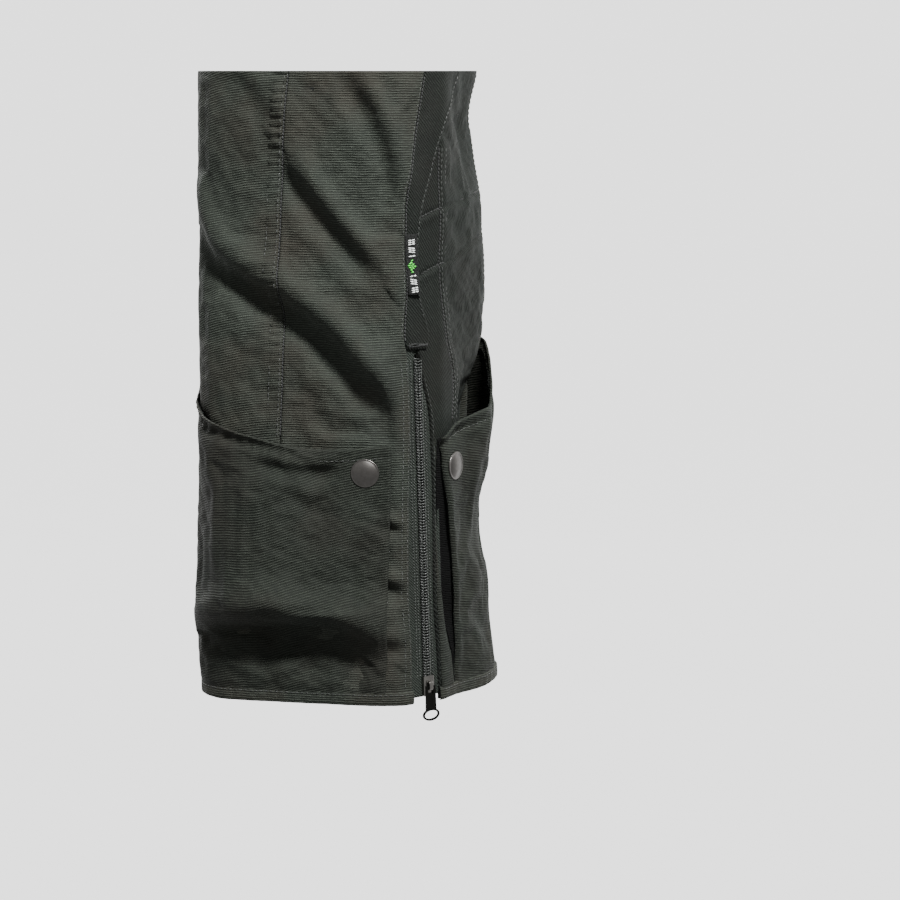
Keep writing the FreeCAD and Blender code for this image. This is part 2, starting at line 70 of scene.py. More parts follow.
class Outline:
    """The leg's cross-section: tangent straights and arcs, walked anticlockwise from the inner-leg seam."""

    def __init__(self, start, heading, runs):
        self.starts, self.bends, self.points, self.headings = [], [], [], []
        at, point, turned = 0.0, np.array(start, float), math.radians(heading)
        for length, radius in runs:
            bend = 1 / radius if radius else 0.0
            self.starts.append(at)
            self.bends.append(bend)
            self.points.append(point)
            self.headings.append(turned)
            step = self.walk(np.array(length), bend, turned)
            point = point + np.array(step[:2], float)
            turned = float(step[2])
            at += length
        self.total = at
        self.end = point

    @staticmethod
    def walk(distance, bend, heading):
        """Step in x and y and the new heading, after a distance along one run."""
        turned = heading + distance * bend
        curve = np.where(bend == 0, 1.0, bend)
        x = np.where(bend == 0, distance * np.cos(heading), (np.sin(turned) - np.sin(heading)) / curve)
        y = np.where(bend == 0, distance * np.sin(heading), (np.cos(heading) - np.cos(turned)) / curve)
        return x, y, turned

    def place(self, s):
        """x, y and the outward normal's x and y at each distance round the face."""
        s = np.mod(s, self.total)
        run = np.clip(np.searchsorted(self.starts, s, side="right") - 1, 0, len(self.starts) - 1)
        bend = np.array(self.bends)[run]
        heading = np.array(self.headings)[run]
        x, y, turned = self.walk(s - np.array(self.starts)[run], bend, heading)
        base = np.array(self.points)[run]
        return base[..., 0] + x, base[..., 1] + y, np.sin(turned), -np.cos(turned)

    def at(self, s, d, out):
        """Points in millimetres at s and d, that far off the face."""
        s, d, out = np.broadcast_arrays(np.asarray(s, float), d, out)
        x, y, nx, ny = self.place(s)
        return np.stack([x + nx * out, y + ny * out, -d], axis=-1)


def arc(radius, degrees):
    return math.radians(degrees) * radius, radius


LEFT_X, LEFT_Y = -91.0, 41.4
OUTER_RUNS = [(30.3, None), arc(24, 76), arc(638, 9), arc(16, 38), (20.0, None)]
OUTER_RUNS += [arc(14, 28), arc(500, 5), arc(40, 24)]
HINGE_X, HINGE_Y = Outline((LEFT_X, LEFT_Y), -90.0, OUTER_RUNS).end
BACK_RADIUS, INNER_RADIUS = 42.0, 40.0
BACK_RUN = HINGE_X - BACK_RADIUS - LEFT_X - INNER_RADIUS
INNER_RUN = HINGE_Y + BACK_RADIUS - INNER_RADIUS - LEFT_Y
BACK_RUNS = [arc(BACK_RADIUS, 90), (BACK_RUN, None), arc(INNER_RADIUS, 90), (INNER_RUN, None)]
outline = Outline((LEFT_X, LEFT_Y), -90.0, OUTER_RUNS + BACK_RUNS)
ROUND = outline.total
HINGE = sum(length for length, _ in OUTER_RUNS)


def smooth_line(*points):
    """A function through (at, value) points that is smooth between them and level beyond them."""
    x, y = np.array(points, float).T
    slope = np.gradient(y, x)

    def value(at):
        at = np.clip(at, x[0], x[-1])
        i = np.clip(np.searchsorted(x, at, side="right") - 1, 0, len(x) - 2)
        width = x[i + 1] - x[i]
        t = (at - x[i]) / width
        start = (1 + 2 * t) * (1 - t) ** 2 * y[i] + t * (1 - t) ** 2 * width * slope[i]
        end = t * t * (3 - 2 * t) * y[i + 1] + t * t * (t - 1) * width * slope[i + 1]
        return start + end

    return value


def paired(s, d):
    """s and d as float arrays of one shape."""
    return np.broadcast_arrays(np.asarray(s, float), np.asarray(d, float))


def ease(t):
    t = np.clip(t, 0.0, 1.0)
    return t * t * (3 - 2 * t)


def hump(t):
    return np.exp(-t * t)


# seams and edges: (drop, distance round)
front_seam = smooth_line(
    (0, 102.6), (40, 99.2), (83, 96.9), (121, 95.9), (156, 97.2), (215, 95.2), (374, 93.5),
)
side_seam = smooth_line(
    (0, 185), (22, 180.9), (54, 174.7), (68, 171.9), (88, 171.2), (130, 171.7), (155, 170.6),
    (164, 172.2), (175, 173.3), (262, 173.4), (312, 173.4), (341, 175.1), (374, 175.2),
)
band_edge = smooth_line(
    (0, 220), (14, 211), (25, 201.4), (40, 194.6), (60, 188.3), (77, 182.8), (91, 180.7),
    (128, 180.6), (144, 184.4), (154, 186.5), (161, 184.5),
)
calf_edge = smooth_line(
    (0, 217.5), (14, 208.5), (25, 199), (40, 192), (60, 185.8), (77, 180.3), (91, 178.2), (128, 178.2),
    (144, 180), (156, 178.8), (164, 179.4), (180, 182.6), (196, 186.7), (221, 188.8), (270, 190.1),
    (319, 190.8), (337, 192.2), (374, 194.6),
)
calf_seam = smooth_line(
    (40, 194.4), (60, 193.9), (89, 195.4), (112, 194.6), (140, 198), (157, 201.4), (169, 206.3),
    (185, 210.1), (206, 208.9), (260, 209), (374, 216),
)
knee_seam_high = smooth_line((178, 85.5), (194, 79.5), (220, 75.5), (262, 71))
knee_seam_low = smooth_line((178, 119), (194.6, 112), (209, 109), (223, 103.5), (262, 97))

# pockets
FRONT_START = 12.0
REAR_SPLIT = 257.0
REAR_END = 292.0
front_end = smooth_line((180, 162.6), (240, 162.0), (300, 160.0), (374, 158.6))
front_mouth = smooth_line(
    (12, 184), (30, 193), (47, 200.7), (66, 208), (87, 213), (108, 218), (132, 219), (163, 216.4)
)
groove = smooth_line(
    (216, 191.6), (237, 190.8), (273, 193.2), (288, 194.4), (304, 196.6), (317, 199.6), (336, 204.2),
    (374, 210.6),
)
rear_start = smooth_line(
    (214, 192.6), (224, 193.5), (233, 193.9), (242, 195.3), (252, 197.2), (264, 199.2), (274, 200.8),
    (290, 203.9), (308, 205.8), (321, 207.1), (340, 208.8), (374, 211.6),
)
rear_mouth = smooth_line(
    (192, 215), (196, 211), (200, 208), (207, 206), (216, 204), (227, 201), (240, 200), (247, 198),
    (252, 190), (257, 176), (266, 166), (279, 162), (292, 160),
)
FRONT_SNAP = (147.0, 233.0)
REAR_SNAP = (203.5, 232.0)


# --- folds of the shell


def line_gap(s, d, points):
    """Distance to a line of (s, d) points, which side of it (1 below, -1 above) and the share along it."""
    points = np.array(points, float)
    reach = np.concatenate([[0], np.cumsum(np.linalg.norm(np.diff(points, axis=0), axis=1))])
    stops = np.linspace(0, reach[-1], 24)
    line_s = smooth_line(*zip(reach, points[:, 0]))(stops)
    line_d = smooth_line(*zip(reach, points[:, 1]))(stops)
    best = np.full(np.shape(s), 1e9)
    side = np.ones(np.shape(s))
    along = np.zeros(np.shape(s))
    for i in range(len(stops) - 1):
        a = np.array([line_s[i], line_d[i]])
        b = np.array([line_s[i + 1], line_d[i + 1]]) - a
        length = float(b @ b)
        t = np.clip(((s - a[0]) * b[0] + (d - a[1]) * b[1]) / length, 0, 1)
        off_s = s - a[0] - t * b[0]
        off_d = d - a[1] - t * b[1]
        gap = np.hypot(off_s, off_d)
        near = gap < best
        best = np.where(near, gap, best)
        side = np.where(near, np.sign(b[0] * off_d - b[1] * off_s), side)
        along = np.where(near, (i + t) / (len(stops) - 1), along)
    return best, side, ease(along / 0.25) * ease((1 - along) / 0.25)


def stroke(s, d, points, depth, wide, steep):
    """A fold along a line of (s, d) points. It is wide on one side of the line and steep on the other."""
    gap, side, taper = line_gap(s, d, points)
    width = np.where(side > 0, wide, steep)
    return depth * hump(gap / width) * (0.25 + 0.75 * taper)


def crease(s, d, points, depth, width):
    """A step along a line: a ridge above it that falls into a hollow below it."""
    gap, side, taper = line_gap(s, d, points)
    t = gap * side / width
    return -depth * t * np.exp(0.5 * (1 - t * t)) * (0.2 + 0.8 * taper)


FOLD_DEPTH = 1.3
SHELL_FOLDS = [
    ([(104, 186), (126, 197), (150, 208)], -1.5, 8, 8),
    ([(206, 88), (218, 96), (232, 98)], -1.2, 8, 8),
    ([(225, 40), (228, 70), (226, 100), (229, 130)], 1.0, 9, 9),
    ([(212, 128), (224, 146), (240, 158)], -1.0, 8, 8),
    ([(206, -4), (214, 14), (226, 30), (246, 40)], -1.4, 8, 8),
    ([(300, -6), (306, 60), (320, 130), (318, 200)], -4.0, 12, 18),
    ([(286, 20), (288, 90), (296, 160)], 2.0, 16, 16),
    ([(440, 20), (410, 80), (370, 130), (338, 165)], -4.2, 11, 18),
    ([(448, 130), (415, 175), (380, 215), (345, 240)], -3.6, 10, 16),
    ([(330, 250), (350, 300), (352, 378)], -3.2, 10, 14),
    ([(400, 250), (412, 310), (408, 378)], -3.4, 12, 15),
    ([(380, 240), (384, 310), (378, 378)], 2.2, 16, 16),
    ([(436, 260), (446, 320), (440, 378)], 1.6, 14, 14),
    ([(372, -6), (368, 40), (350, 86)], -2.6, 12, 14),
]
CREASES = [
    ([(96, 44), (106, 58), (113, 68), (130, 88), (144, 103), (158, 122)], 3.9, 6.6),
    ([(40, 94), (52, 103), (66, 113), (82, 123), (102, 135), (120, 148), (135, 163), (150, 181),
      (174, 210)], 6.8, 9.8),
    ([(62, 330), (80, 326), (100, 325), (120, 327), (140, 334), (162, 348)], 4.5, 12.5),
    ([(136, -6), (143, 8), (152, 23), (159, 39), (165, 62), (168, 84)], 2.8, 6.5),
    ([(26, 64), (47, 89), (58, 116)], 1.8, 8.0),
    ([(62, -6), (80, 10), (90, 22), (97, 38)], 1.8, 8.0),
    ([(112, 196), (130, 203), (150, 207)], 1.2, 5.0),
    ([(156, 262), (173, 268)], 1.9, 3.2),
    ([(156, 298), (173, 304)], 2.4, 4.4),
    ([(156, 334), (173, 338)], 1.6, 5.0),
]
side_profile = smooth_line(
    (0, -4.5), (28, -9), (47, -6.5), (80, -1.5), (100, -1), (127, 0.5), (155, -1.5), (215, -2),
    (240, -3.2), (262, -6), (275, -6), (305, -1.5), (340, 2.5), (374, 8),
)


def waves(points, length, seed, count=7):
    """Soft random swell over points in space, about 1 high."""
    draw = np.random.default_rng(seed)
    turns = draw.normal(size=(count, 3))
    turns /= np.linalg.norm(turns, axis=1)[:, None]
    rates = 2 * math.pi / (length * draw.uniform(0.75, 1.4, count))
    starts = draw.uniform(0, 2 * math.pi, count)
    total = sum(np.sin(points @ turn * rate + start) for turn, rate, start in zip(turns, rates, starts))
    return total / math.sqrt(count)


def zip_middle(d):
    """Distance round the face at the middle of the zip."""
    return 179.1 + np.tan(math.radians(1.9)) * (d - 163.0)


left_relief = smooth_line(
    (0, -2.6), (60, -1.9), (120, -1.4), (205, -1.2), (222, -1.6), (240, -0.9), (262, 0.1), (343, 1.0),
    (360, 0.4), (368, -0.6),
)


def left_shape(s, d):
    """Draws the inner-leg side in or out, so that it hangs dead straight."""
    turn = np.mod(s, ROUND)
    return left_relief(d) * (1 - ease((turn - 45) / 30) + ease((turn - ROUND + 60) / 45))


def calm(s, d):
    """0 at the zip, studs and left edge, where the face has to stay on the frame, and 1 away from them."""
    near_zip = ease((d - 128) / 26)
    zip_far = ease((np.abs(s - zip_middle(d)) - 9) / 12)
    free = 1 - near_zip * (1 - zip_far)
    for stud_s, stud_d in (FRONT_SNAP, REAR_SNAP):
        free = free * (1 - hump(np.hypot(s - stud_s, d - stud_d) / 16))
    left = np.minimum(np.abs(s - 22), 40)
    return free * (0.12 + 0.88 * ease(left / 30))


def folds(s, d):
    """Large shape of the cloth: folds, swell and the way the side swings in and out."""
    s, d = paired(s, d)
    points = outline.at(s, d, 0.0)
    total = FOLD_DEPTH * sum(stroke(s, d, *fold) for fold in SHELL_FOLDS)
    total = total + sum(crease(s, d, *fold) for fold in CREASES)
    total = total + 0.55 * waves(points, 75, 3) + 0.22 * waves(points, 26, 5)
    total = total * calm(s, d)
    window = ease((s - 204) / 34) * (1 - ease((s - 276) / 50))
    return total + side_profile(d) * window * (1 - near_snap(s, d)) + left_shape(s, d)


def near_snap(s, d):
    return hump(np.hypot(s - REAR_SNAP[0], d - REAR_SNAP[1]) / 16)


def puckers(s, d, edge, width, pitch, height):
    """Small creases across a sewn strip that lies just before an edge."""
    across = (edge - s) / width
    inside = ease(across / 0.15) * ease((1.15 - across) / 0.3)
    drift = 1.6 * np.sin(d / 11.0) + 1.1 * np.sin(d / 4.7 + 1)
    return height * inside * np.sin(2 * math.pi * d / pitch + drift)


def seam_details(s, d):
    """Fine shape beside the seams: felled allowances, stitch valleys and puckers."""
    lay = front_seam(d)
    felled = 0.45 * ease((s - lay + 8.6) / 1.2) * (s < lay)
    felled = felled - 0.4 * hump((s - lay + 8) / 0.7) * (s < lay)
    pull = 0.3 + 0.5 * hump((d - 30) / 26) + 0.7 * hump((d - 138) / 18)
    total = felled + puckers(s, d, lay, 8.0, 4.9, 1.5) * pull * (d < 222)
    seam = calf_seam(d)
    total = total + 0.4 * hump((s - seam - 3) / 1.6) * (d > 38)
    for knee in (knee_seam_high, knee_seam_low):
        away = d - knee(s)
        inside = ease((s - calf_edge(d)) / 2) * (s < HINGE + 0.5)
        total = total + inside * (0.5 * hump((away - 3) / 2.2) - 1.3 * hump(away / 1.0))
    return total


mouth_hollow = smooth_line(
    (158, 0), (172, -2.4), (181, -6), (190, -10), (198, -12), (225, -12), (250, -6), (290, 0)
)
FLAP_CREASE = [(196, 236), (197, 262), (198, 285), (201, 310), (205, 342)]


def hollows(s, d):
    """Where the shell is pushed in behind the rear pocket: behind its mouth and under its folded edge."""
    s, d = paired(s, d)
    behind = mouth_hollow(d) * ease((s - 214) / 26) * ease((290 - s) / 15)
    return behind + stroke(s, d, FLAP_CREASE, -5.5, 4.2, 4.2)


def shell_face(s, d):
    """Height of the shell's outer face."""
    return folds(s, d) + hollows(s, d) + seam_details(s, d)


# --- pockets


front_across = smooth_line(
    (10, 0.2), (22, 0.4), (34, 0.9), (44, 3.2), (56, 8.5), (76, 13.5), (100, 11), (124, 5.6), (140, 3.5)
)
front_fall = smooth_line(
    (184, 0.5), (216, 0.62), (250, 0.85), (285, 1.14), (302, 1.16), (316, 0.86), (330, 0.34), (344, 0.14),
    (367, 0.03),
)
seat_fall = smooth_line((184, 1), (300, 1.1), (318, 0.95), (338, 0.4), (352, 0.3), (367, 0.08))
POCKET_SEAT = 3.5
POCKET_FOLDS = [
    ([(117, 218), (120, 240), (124, 268)], -1.7, 9, 9),
    ([(40, 232), (46, 280), (56, 330)], -2.6, 10, 12),
    ([(70, 232), (84, 262), (92, 300)], 1.0, 12, 12),
    ([(88, 358), (104, 349), (120, 338)], 2.0, 4, 5),
    ([(56, 344), (68, 352), (84, 357)], 1.6, 4, 5),
    ([(128, 352), (140, 344), (150, 340)], 1.3, 4, 4),
    ([(140, 262), (150, 276), (158, 296)], 1.0, 7, 7),
    ([(150, 246), (158, 262), (164, 278)], -1.2, 5, 5),
]
POCKET_CREASES = [
    ([(46, 334), (62, 328), (80, 323), (100, 322), (120, 324), (140, 332), (162, 348)], 8.0, 12.5),
    ([(80, 222), (100, 227), (118, 230), (138, 228)], 2.8, 4.6),
    ([(104, 236), (112, 246), (128, 252)], 0.9, 5.0),
    ([(130, 346), (146, 352), (160, 362)], 1.6, 5.0),
]
LIP = 7.0


def mouth_shape(s, below, rope):
    """Fine shape of a turned pocket mouth at a distance below its edge. rope is how much it twists."""
    lip = (0.5 + 1.1 * rope) * hump(below / 2.2)
    stitched = -(0.6 + 1.5 * rope) * hump((below - LIP + 1.5 * rope) / (1.0 + 2.4 * rope))
    phase = 2 * math.pi * (s + 0.5 * below) / 6.4 + 1.6 * np.sin(s / 7.0)
    creases = (0.15 + 0.75 * rope) * np.sin(phase) * hump((below - 5) / 3.6)
    return lip + stitched + creases


def front_pocket_face(s, d):
    """Height of the front pocket's outer face."""
    s, d = paired(s, d)
    across = front_across(s)
    seat = np.minimum(across, POCKET_SEAT) * seat_fall(d)
    bulge = np.maximum(across - POCKET_SEAT, 0) * front_fall(d)
    free = 1 - hump(np.hypot(s - FRONT_SNAP[0], d - FRONT_SNAP[1]) / 14)
    edge = ease((s - 20) / 30) * ease((HEM - d) / 8)
    soft = sum(stroke(s, d, *fold) for fold in POCKET_FOLDS)
    soft = soft + sum(crease(s, d, *fold) for fold in POCKET_CREASES)
    soft = soft + 0.3 * waves(outline.at(s, d, 0.0), 30, 11)
    rope = ease((s - 20) / 20) * (1 - ease((s - 100) / 20))
    rim = mouth_shape(s, d - front_mouth(s), rope)
    under = 0.5 * (folds(s, d) + left_shape(s, d))
    total = under + CLOTH + seat + bulge + soft * free * edge + rim * (0.25 + 0.75 * free)
    return np.maximum(total, folds(s, d) + CLOTH + 0.6)


rear_across = smooth_line((198, 0), (211, 0.05), (232, 1), (247, 0.5), (260, 0.08), (272, 0))
rear_fall = smooth_line((160, 0.1), (190, 0.6), (205, 1), (228, 0.85), (262, 0.4), (300, 0.3), (367, 0.02))
rear_seat = smooth_line((198, 1.0), (246, 1.0), (257, 0.8), (266, 0.5), (280, 0.2), (292, 0.0))
rear_seat_fall = smooth_line((160, 1.1), (260, 1.0), (300, 0.85), (335, 0.6), (367, 0.1))
REAR_FOLDS = [
    ([(220, 218), (225, 248), (232, 280)], 1.4, 3, 5),
    ([(212, 246), (217, 276), (222, 320)], -1.3, 6, 6),
    ([(240, 222), (243, 262), (240, 300)], 1.0, 6, 7),
    ([(226, 316), (236, 332), (250, 350)], -1.2, 7, 7),
]


def rear_pocket_face(s, d):
    """Height of the rear pocket's outer face."""
    s, d = paired(s, d)
    seat = POCKET_SEAT * rear_seat(s) * rear_seat_fall(d)
    bulge = 9.0 * rear_across(s) * rear_fall(d)
    ear = 1.6 * ease((s - 246) / 8) * (1 - ease((s - 264) / 24)) * (1 - ease((d - 196) / 24))
    free = 1 - hump(np.hypot(s - REAR_SNAP[0], d - REAR_SNAP[1]) / 12)
    soft = sum(stroke(s, d, *fold) for fold in REAR_FOLDS) + 0.25 * waves(outline.at(s, d, 0.0), 24, 13)
    turned = 0.9 * hump((s - rear_start(d) - 2.4) / 2.2) * ease((HEM - d) / 30)
    rim = mouth_shape(s, d - rear_mouth(s), 0.25 + 0.5 * (1 - ease((s - 204) / 16)))
    detail = (soft + turned + rim) * (0.2 + 0.8 * free) * ease((HEM - d) / 8)
    return folds(s, d) + CLOTH + seat + bulge + ear + detail


# --- mesh building


def mesh_object(name, points, faces, material, uv=None):
    """A smooth-shaded mesh from points in millimetres, with its weave coordinates in metres."""
    mesh = bpy.data.meshes.new(name)
    mesh.from_pydata((points * MM).tolist(), [], faces)
    obj = bpy.data.objects.new(name, mesh)
    bpy.context.scene.collection.objects.link(obj)
    if uv is not None:
        layer = mesh.uv_layers.new(name="weave")
        corners = np.zeros(len(mesh.loops), np.int64)
        mesh.loops.foreach_get("vertex_index", corners)
        layer.data.foreach_set("uv", (uv[corners] * MM).astype(np.float32).ravel())
    work = bmesh.new()
    work.from_mesh(mesh)
    bmesh.ops.recalc_face_normals(work, faces=work.faces)
    work.to_mesh(mesh)
    work.free()
    mesh.shade_smooth()
    mesh.materials.append(material)
    return obj


def grid_faces(index):
    """Quads between neighbouring rows and columns of point numbers."""
    quads = np.stack([index[:-1, :-1], index[1:, :-1], index[1:, 1:], index[:-1, 1:]], axis=-1)
    return quads.reshape(-1, 4).tolist()


def ring_faces(index):
    """Quads round rings of point numbers. Each row is one ring."""
    return grid_faces(np.concatenate([index, index[:, :1]], axis=1))


def closed_sheet(name, outer, inner, uv, material):
    """A closed sheet of cloth between two grids of points."""
    rows, cols = outer.shape[:2]
    count = rows * cols
    front = np.arange(count).reshape(rows, cols)
    back = front[::-1] + count
    faces = grid_faces(front) + grid_faces(back)
    rim = np.concatenate([front[0], front[1:, -1], front[-1, -2::-1], front[-2:0:-1, 0]])
    ring = np.stack([np.append(rim, rim[0]), np.append(rim, rim[0]) + count])
    faces += grid_faces(ring)
    points = np.concatenate([outer.reshape(-1, 3), inner.reshape(-1, 3)])
    both = np.concatenate([uv.reshape(-1, 2)] * 2)
    return mesh_object(name, points, faces, material, both)


def ticks(length, step, fine=(0, 0.35, 0.8, 1.4, 2.2)):
    """Shares of a length, from 0 to 1: evenly spaced, and close together at both ends."""
    fine = [f for f in fine if f < length / 2.5]
    middle = np.linspace(fine[-1], length - fine[-1], max(int(round((length - 2 * fine[-1]) / step)), 2) + 1)
    return np.concatenate([fine[:-1], middle, length - np.array(fine[:-1])[::-1]]) / length


def constant(value):
    return lambda at: np.full(np.shape(at), float(value))


def spread(left, right, top, base, step):
    """Grids of s and d between two edges and two ends, each edge a function of d and each end of s."""
    wide = max(float(right(d) - left(d)) for d in np.linspace(float(top(left(100.0))), LEG, 12))
    tall = float(np.mean(base(left(300.0)) - top(left(100.0))))
    across, down = np.meshgrid(ticks(wide, step), ticks(tall, step))
    d = top(left(100.0)) + (base(left(300.0)) - top(left(100.0))) * down
    for _ in range(6):
        s = left(d) + (right(d) - left(d)) * across
        d = top(s) + (base(s) - top(s)) * down
    return s, d


def rolled(distance, depth, width=1.3):
    """How far cloth dips at a distance from its turned edge."""
    return depth * (1 - np.clip(distance / width, 0, 1)) ** 2


def turned_uv(s, d, degrees):
    """Weave coordinates for cloth cut at an angle."""
    turn = math.radians(degrees)
    cos, sin = math.cos(turn), math.sin(turn)
    return np.stack([s * cos - d * sin, s * sin + d * cos], axis=-1)


def sag(s):
    """How far the weave drops towards the inner leg."""
    return -14.9 * np.exp(-(np.maximum(s, 25.0) - 40) / 27)


def belly_sag(s):
    """How far the weave of the front pocket drops from its stud towards the inner leg."""
    return sag(s) + 16 * ease((s - 76) / 100) - 2 * hump((s - 84) / 14)


SHORTEST_SIDE = 10.1
FLAT = (0, 0, 0, 0)  # no turned edges


def panel(name, left, right, top, base, face, material, step=1.7, thick=CLOTH, dips=(0.9, 0.9, 0.3, 0.3),
          move=None, bias=constant(0.0), grain=0):
    """A sheet of cloth that follows the leg. dips are its turned edges' depths: left, right, top, base."""
    s, d = spread(left, right, top, base, step)
    out = face(s, d)
    out = out - rolled(s - left(d), dips[0]) - rolled(right(d) - s, dips[1])
    out = out - rolled(d - top(s), dips[2]) - rolled(base(s) - d, dips[3])
    outer = outline.at(s, d, out)
    inner = outline.at(s, d, out - thick)
    if move is not None:
        shift = move(outer, s, d)
        outer = outer + shift
        inner = inner + shift
    weave = turned_uv(s, d + bias(s), grain)
    obj = closed_sheet(name, outer, inner, weave, material)
    flat_width = max(float(np.max(right(d) - left(d))), SHORTEST_SIDE)
    flat_length = max(float(np.max(base(s) - top(s))), SHORTEST_SIDE)
    corners = np.array([outer[:-1, :-1], outer[1:, :-1], outer[1:, 1:], outer[:-1, 1:]])
    diagonals = np.cross(corners[2] - corners[0], corners[3] - corners[1])
    area = float(np.linalg.norm(diagonals, axis=-1).sum() / 2)
    area = float(np.clip(area, 0.31 * flat_width * flat_length, flat_width * flat_length))
    obj["flat"] = [flat_width * MM, flat_length * MM, area * MM * MM]
    return obj


# --- cloth simulation


CLOTH_SCALE = 0.01  # millimetres to the simulation's metres, at ten times life size
CLOTH_RULES = dict(
    quality=6, mass=0.25, tension_stiffness=18, compression_stiffness=18, shear_stiffness=6,
    bending_stiffness=0.6, tension_damping=12, compression_damping=12, bending_damping=1.5,
)


def thinned(count):
    """About a third of a grid's rows, always with its first and last."""
    return np.unique(np.linspace(0, count - 1, max(count // 3, 6)).round().astype(int))


def refilled(values, picked, count):
    """Values at picked rows of a grid, spread evenly over all its rows."""
    columns = values.reshape(len(values), -1).T
    full = np.stack([np.interp(np.arange(count), picked, column) for column in columns], axis=1)
    return full.reshape(count, *values.shape[1:])


def settle(outer, pinned, swell, most, frames=26):
    """How far cloth a little too large for its frame buckles and sags between its pinned places."""
    rows, cols = outer.shape[:2]
    pick_rows, pick_cols = thinned(rows), thinned(cols)
    coarse = outer[np.ix_(pick_rows, pick_cols)]
    held = pinned[np.ix_(pick_rows, pick_cols)].ravel()
    index = np.arange(coarse.shape[0] * coarse.shape[1]).reshape(coarse.shape[:2])
    mesh = bpy.data.meshes.new("cloth")
    mesh.from_pydata((coarse.reshape(-1, 3) * CLOTH_SCALE).tolist(), [], grid_faces(index))
    obj = bpy.data.objects.new("cloth", mesh)
    bpy.context.scene.collection.objects.link(obj)
    group = obj.vertex_groups.new(name="pins")
    for vertex, weight in enumerate(held):
        if weight > 0:
            group.add([vertex], float(weight), "REPLACE")
    cloth = obj.modifiers.new("cloth", "CLOTH")
    rules = cloth.settings
    rules.vertex_group_mass = "pins"
    for key, value in CLOTH_RULES.items():
        setattr(rules, key, value)
    rules.shrink_min = -swell
    rules.shrink_max = -swell
    rules.effector_weights.gravity = 0.35
    rules.air_damping = 3
    cloth.point_cache.frame_end = frames
    scene = bpy.context.scene
    for number in range(1, frames + 1):
        scene.frame_set(number)
    seen = obj.evaluated_get(bpy.context.evaluated_depsgraph_get())
    moved = np.array([v.co for v in seen.data.vertices], float).reshape(coarse.shape) / CLOTH_SCALE
    shift = moved - coarse
    size = np.linalg.norm(shift, axis=-1, keepdims=True)
    shift = shift * np.tanh(size / most) * most / np.maximum(size, 1e-9)
    scene.frame_set(1)
    bpy.data.objects.remove(obj)
    across = refilled(shift.swapaxes(0, 1), pick_cols, cols).swapaxes(0, 1)
    return refilled(across, pick_rows, rows) * (1 - pinned[..., None])


# --- materials


def link(tree, source, target):
    tree.links.new(source, target)


def node(tree, kind, inputs=(), **settings):
    """Adds a shader node. inputs are (socket, value or output) pairs."""
    made = tree.nodes.new(kind)
    for name, value in settings.items():
        setattr(made, name, value)
    for socket, value in inputs:
        if isinstance(value, bpy.types.NodeSocket):
            tree.links.new(value, made.inputs[socket])
        else:
            made.inputs[socket].default_value = value
    return made


def sum_of(tree, operation, a, b=0.0, c=0.0):
    return node(tree, "ShaderNodeMath", ((0, a), (1, b), (2, c)), operation=operation).outputs[0]


def mix(tree, factor, a, b, blend="MIX"):
    inputs = ((0, factor), (6, a), (7, b))
    return node(tree, "ShaderNodeMix", inputs, data_type="RGBA", blend_type=blend).outputs[2]


def noise(tree, vector, scale, detail=3.0, rough=0.55):
    inputs = (("Vector", vector), ("Scale", scale), ("Detail", detail), ("Roughness", rough))
    return node(tree, "ShaderNodeTexNoise", inputs).outputs["Fac"]


def remap(tree, value, low, high, to_low, to_high):
    """Moves a value from one range to another and clamps it there."""
    inputs = (("Value", value), (1, low), (2, high), (3, to_low), (4, to_high))
    return node(tree, "ShaderNodeMapRange", inputs).outputs[0]


def place_on(tree):
    return node(tree, "ShaderNodeTexCoord").outputs["Object"]


def weave_on(tree):
    """A piece's weave coordinates: across and down."""
    weave = node(tree, "ShaderNodeUVMap", (), uv_map="weave").outputs[0]
    return node(tree, "ShaderNodeSeparateXYZ", ((0, weave),)).outputs


def wave_of(tree, place, rate, shift):
    """A sine from 0 to 1 of a place times a rate, with a shift."""
    line = sum_of(tree, "MULTIPLY_ADD", place, rate, shift)
    return sum_of(tree, "MULTIPLY_ADD", sum_of(tree, "SINE", line), 0.5, 0.5)


def start_material(name, **values):
    """A material with a Principled shader, whose plain values are set on its own sockets."""
    material = bpy.data.materials.new(name)
    material.use_nodes = True
    tree = material.node_tree
    shader = tree.nodes["Principled BSDF"]
    for socket, value in values.items():
        shader.inputs[socket.replace("_", " ")].default_value = value
    return material, tree, shader


def shade(rgb):
    return (*rgb, 1.0)


def add_bump(tree, shader, height, distance, strength=1.0):
    made = node(tree, "ShaderNodeBump", (("Height", height), ("Distance", distance), ("Strength", strength)))
    link(tree, made.outputs[0], shader.inputs["Normal"])


